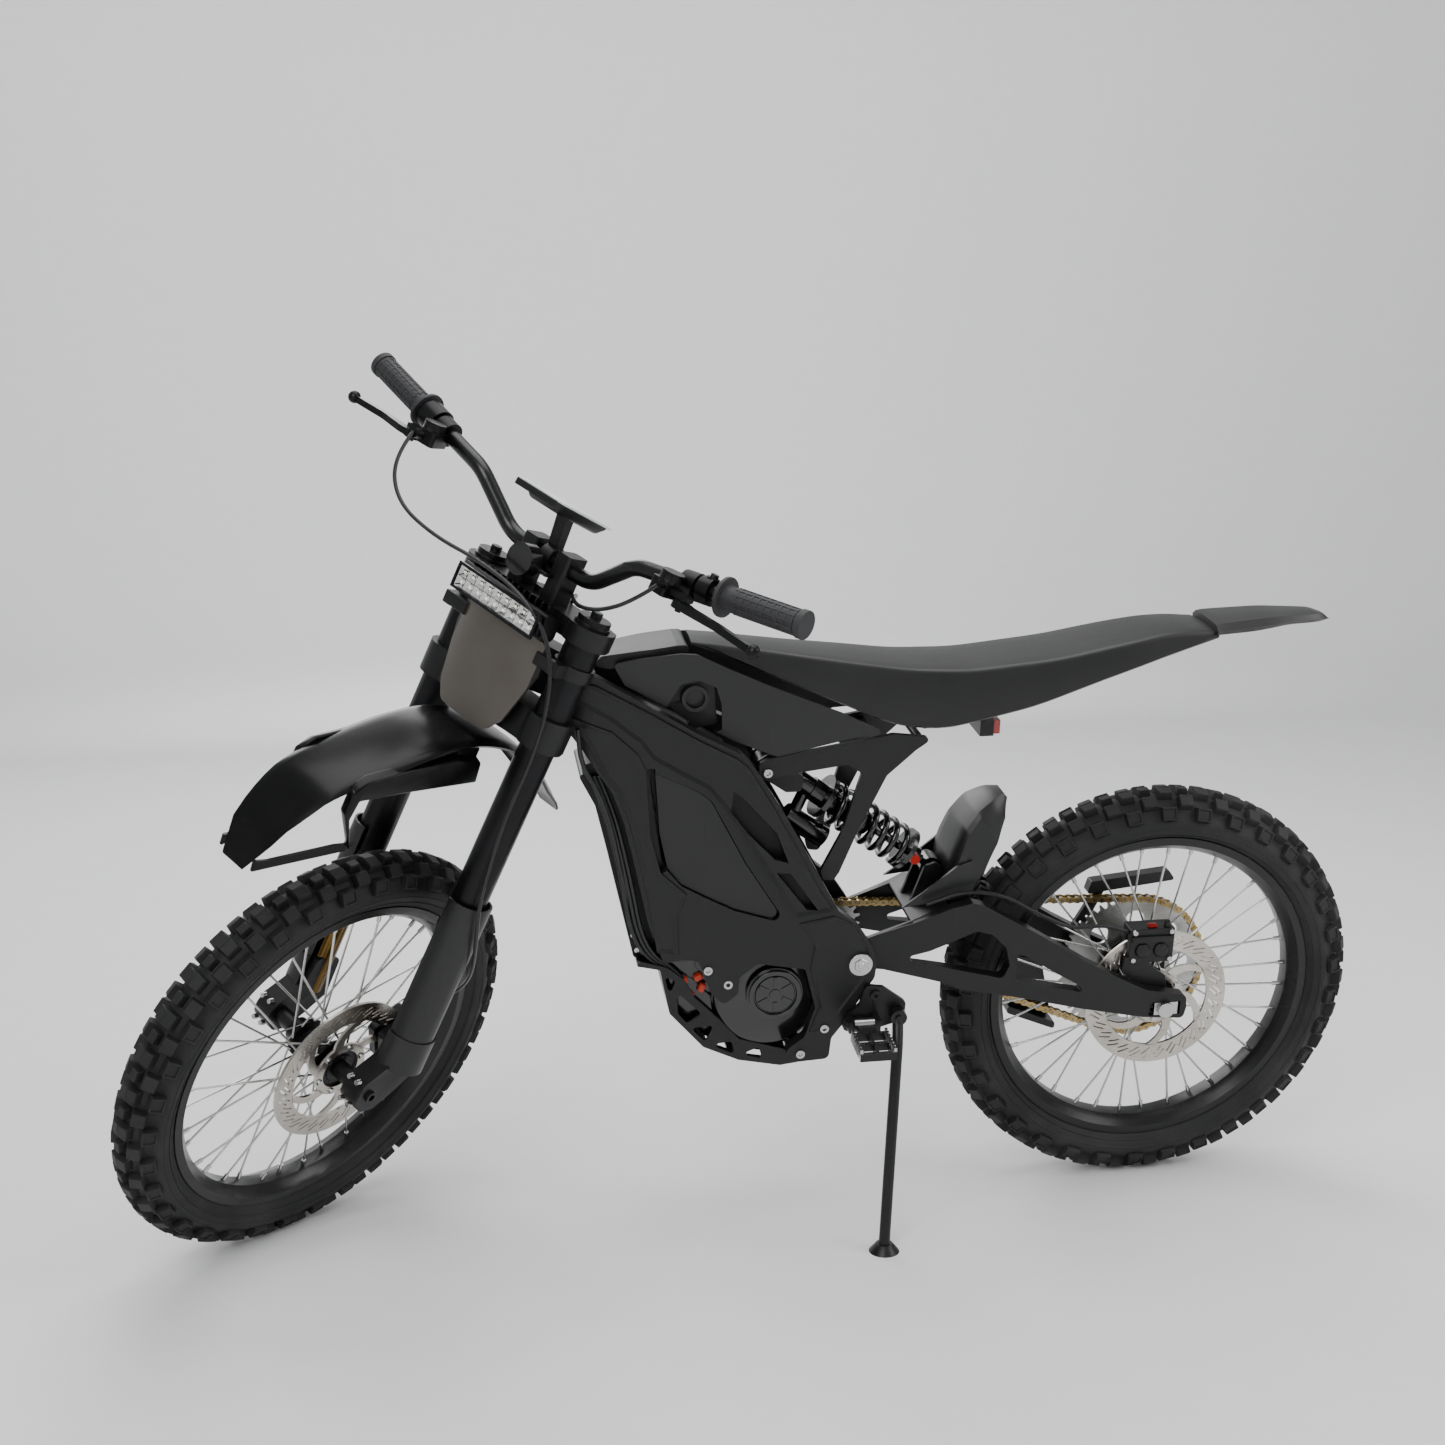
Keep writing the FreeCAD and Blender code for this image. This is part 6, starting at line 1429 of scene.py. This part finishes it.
@dataclass
class Cockpit(SubAssembly):
    """Handlebar, grips, levers, controls, display, horn and hoses."""

    hose_r: float = 2.8
    front_hose: tuple[Point, ...] = (
        (100, -232, 838), (128, -222, 800), (138, -176, 756), (128, -104, 742), (110, -26, 744), (92, 50, 732),
        (74, 106, 690), (60, 130, 618), (54, 136, 540), (50, 132, 466), (46, 136, 394), (38, 142, 326),
        (10, 144, 262), (-28, 132, 202), (-56, 104, 154), (-62, 74, 118))
    rear_hose: tuple[Point, ...] = (
        (96, 232, 840), (104, 212, 806), (92, 166, 772), (64, 112, 752), (28, 68, 748), (-18, 40, 742),
        (-42, 18, 724), (-45, 10, 686))
    FLEX_FROM = Vector((60.0, 130.0, 600.0))
    FLEX_TO = Vector((30.0, 142.0, 300.0))
    GRIP_ENDS = ((32.6, 285.0, 857.1), (27.0, 403.0, 879.0))
    GRIP_RINGS = 9
    GRIP_BARS = 12
    RING_PITCH = 10.5
    RING_R = 16.7
    DRESSED = (("bar_controls", "steering", "control_black", BLACK_ANODISED, 1.0),
               ("mode_button", "mode_button", "button_grey", MOULDED_PP, 0.6),
               ("brake_lever_left", "rear_brake_lever", "control_black", BLACK_ANODISED, 1.2),
               ("brake_lever_right", "front_brake_lever", "control_black", BLACK_ANODISED, 1.2),
               ("grip_left", "steering", "grip_rubber", GRIP_RUBBER, 0.8),
               ("throttle_grip", "throttle", "grip_rubber", GRIP_RUBBER, 0.8))
    SCREEN_TILT_DEG = -11.0
    SCREEN_AT = (26.0, 0.0, 846.0)

    @property
    def here(self) -> Matrix:
        """The fork's placement."""
        return self.place.fork

    def build(self) -> None:
        """Build the grips' ribs, the display and the hoses, and dress the controls."""
        self.dress("handlebar", SATIN_RIM)
        for row in self.DRESSED:
            self.softened(*row)
        self._grip_ribs("grip_left_ribs", 1.0, "steering")
        self._grip_ribs("throttle_grip_ribs", -1.0, "throttle")
        self._display()
        self.softened("horn", "steering", "horn_black", GLOSS_ENAMEL, 0.8)
        rear = self.drawn_line("rear_brake_line", self.rear_hose, self.hose_r)
        self.mount(rear, "steering", "hose_rubber", "rear_brake_hose")
        front = self.drawn_line("front_brake_line", self.front_hose, self.hose_r)
        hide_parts("front_brake_hose")
        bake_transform(front)

    def _grip_ribs(self, name: str, sign: float, body: str) -> None:
        """Mould the grip's pattern: rings between long bars.

        Args:
            name: the piece's name.
            sign: 1 on the left, -1 on the right.
            body: the body it rides on.
        """
        inner, outer = (Vector((lead, sign * side, height)) for lead, side, height in self.GRIP_ENDS)
        axis = (outer - inner).normalized()
        rings, bars = Blank(), Blank()
        for k in range(self.GRIP_RINGS):
            at = inner + axis * (24.0 + self.RING_PITCH * k)
            rings.cone(at, at + axis * 3.0, self.RING_R, self.RING_R, 40)
        start = inner + axis * 20.0
        bars.block((-1.6, 15.2, 0.0), (1.6, 17.0, 92.0),
                   Matrix.Translation(start) @ axis.to_track_quat("Z", "Y").to_matrix().to_4x4())
        bars.repeated(start, axis, self.GRIP_BARS)
        self.fitted(rings, name + "_rings", GRIP_RUBBER, body, "grip_rubber")
        self.fitted(bars, name + "_bars", GRIP_RUBBER, body, "grip_rubber")

    def _display(self) -> None:
        """Build the display's dark case and pale face, and keep its arm."""
        tilt = Matrix.Translation(self.SCREEN_AT) @ Matrix.Rotation(math.radians(self.SCREEN_TILT_DEG), 4, "Y")
        back = tilt.inverted()

        def on_case(at: Vector) -> bool:
            """Whether a face belongs to the plain case."""
            local = back @ at
            return abs(local.x) < 71.0 and -8.0 < local.z < 8.5 and at.z > 822.0

        self.softened("display", "steering", "screen", POWDER_COAT, 1.0, dropped=on_case)
        case, face = Blank(), Blank()
        case.block((-56.0, -36.0, -13.0), (56.0, 36.0, 1.5), tilt)
        for vert in case.bm.verts:
            local = back @ vert.co
            if local.z < -5.0:
                vert.co = tilt @ Vector((local.x * 0.8, local.y * 0.82, local.z))
        case.rounded(4.0, 3, 40.0)
        face.block((-58.0, -38.0, 1.2), (58.0, 38.0, 5.2), tilt)
        face.rounded(1.8, 3, 40.0)
        self.fitted(case, "display_case", POWDER_COAT, "steering", "screen")
        self.fitted(face, "display_face", PALE_SCREEN, "steering", "screen")


# ---- studio -------------------------------------------------------------------------------------------
@dataclass
class Studio:
    """Floor, soft lights and camera."""

    camera_at: Point = (0.4793, 2.5062, 1.2935)
    camera_turn_deg: Point = (78.206, 0.112, 170.899)
    lens_mm: float = 47.39
    floor_r: float = 5200.0
    bend_r: float = 2600.0
    world_strength: float = 0.62

    WORLD_COLOUR = "dfe1e3"
    MIDDLE = (0.0, 0.0, 0.5)
    LIGHTS = (("key_softbox", (1.9, 3.2, 3.4), MIDDLE, 2.2, 100.0),
              ("top_softbox", (-0.3, -0.2, 3.8), MIDDLE, 2.8, 88.0),
              ("wall_softbox", (0.0, -3.0, 2.4), (0.0, -9.0, 3.4), 3.0, 160.0),
              ("rear_softbox", (-3.2, 1.2, 2.4), MIDDLE, 1.8, 50.0),
              ("back_softbox", (0.8, -3.0, 2.6), MIDDLE, 2.2, 60.0))

    def build(self) -> None:
        """Build the studio."""
        blank = Blank()
        profile = [(0.0, 0.0), (self.floor_r, 0.0)]
        profile += [(self.floor_r + self.bend_r * math.sin(a), self.bend_r - self.bend_r * math.cos(a))
                    for a in [math.pi / 2.0 * k / 14 for k in range(1, 15)]]
        profile.append((self.floor_r + self.bend_r, 2.0 * self.bend_r))
        blank.spun([Vector((r, 0.0, z)) for r, z in profile], Vector(), Vector((0.0, 0.0, 1.0)), 96,
                   closed=False)
        blank.piece("studio_sweep", Matrix.Scale(MM, 4), STUDIO_PAPER, 60.0)
        self._world()
        for row in self.LIGHTS:
            self._light(*row)
        camera = bpy.data.cameras.new("studio_camera")
        camera.lens = self.lens_mm
        camera.clip_end = 100.0
        holder = bpy.data.objects.new("studio_camera", camera)
        holder.location = self.camera_at
        holder.rotation_euler = [math.radians(a) for a in self.camera_turn_deg]
        bpy.context.scene.collection.objects.link(holder)
        bpy.context.scene.camera = holder

    def _world(self) -> None:
        """Fill the studio with even pale light."""
        world = bpy.data.worlds.new("studio_world")
        world.use_nodes = True
        background = world.node_tree.nodes["Background"]
        background.inputs["Color"].default_value = linear(self.WORLD_COLOUR)
        background.inputs["Strength"].default_value = self.world_strength
        bpy.context.scene.world = world

    def _light(self, name: str, at: Point, target: Point, size: float, power: float) -> None:
        """Hang one square softbox.

        Args:
            name: its name.
            at: where it hangs.
            target: the point it faces.
            size: its side in metres.
            power: its power in watts.
        """
        light = bpy.data.lights.new(name, "AREA")
        light.shape = "SQUARE"
        light.size = size
        light.energy = power
        holder = bpy.data.objects.new(name, light)
        holder.location = at
        holder.rotation_euler = (Vector(target) - Vector(at)).to_track_quat("-Z", "Y").to_euler()
        bpy.context.scene.collection.objects.link(holder)


def main() -> None:
    """Build the studio and every sub-assembly in order."""
    logging.basicConfig(level=logging.INFO, format="%(name)s: %(message)s")
    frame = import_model()
    place = Placement(frame["joints"])
    nodes = frame["nodes"]
    Studio().build()
    Chassis(place, nodes).build()
    Bodywork(place, nodes).build()
    rear_axle = Vector((0.0, 0.0, Placement.REAR_AXLE_HEIGHT))
    front_axle = Vector((Placement.AXLE_LEAD, 0.0, 0.0))
    Wheel(place, nodes, "rear", rear_axle, place.machine).build()
    Wheel(place, nodes, "front", front_axle, place.fork, outer=319.0, section=40.0, rim_half=23.0).build()
    ChainDrive(place, nodes).build()
    RearSuspension(place, nodes).build()
    ForkAssembly(place, nodes).build()
    Cockpit(place, nodes).build()


if __name__ == "__main__":
    main()
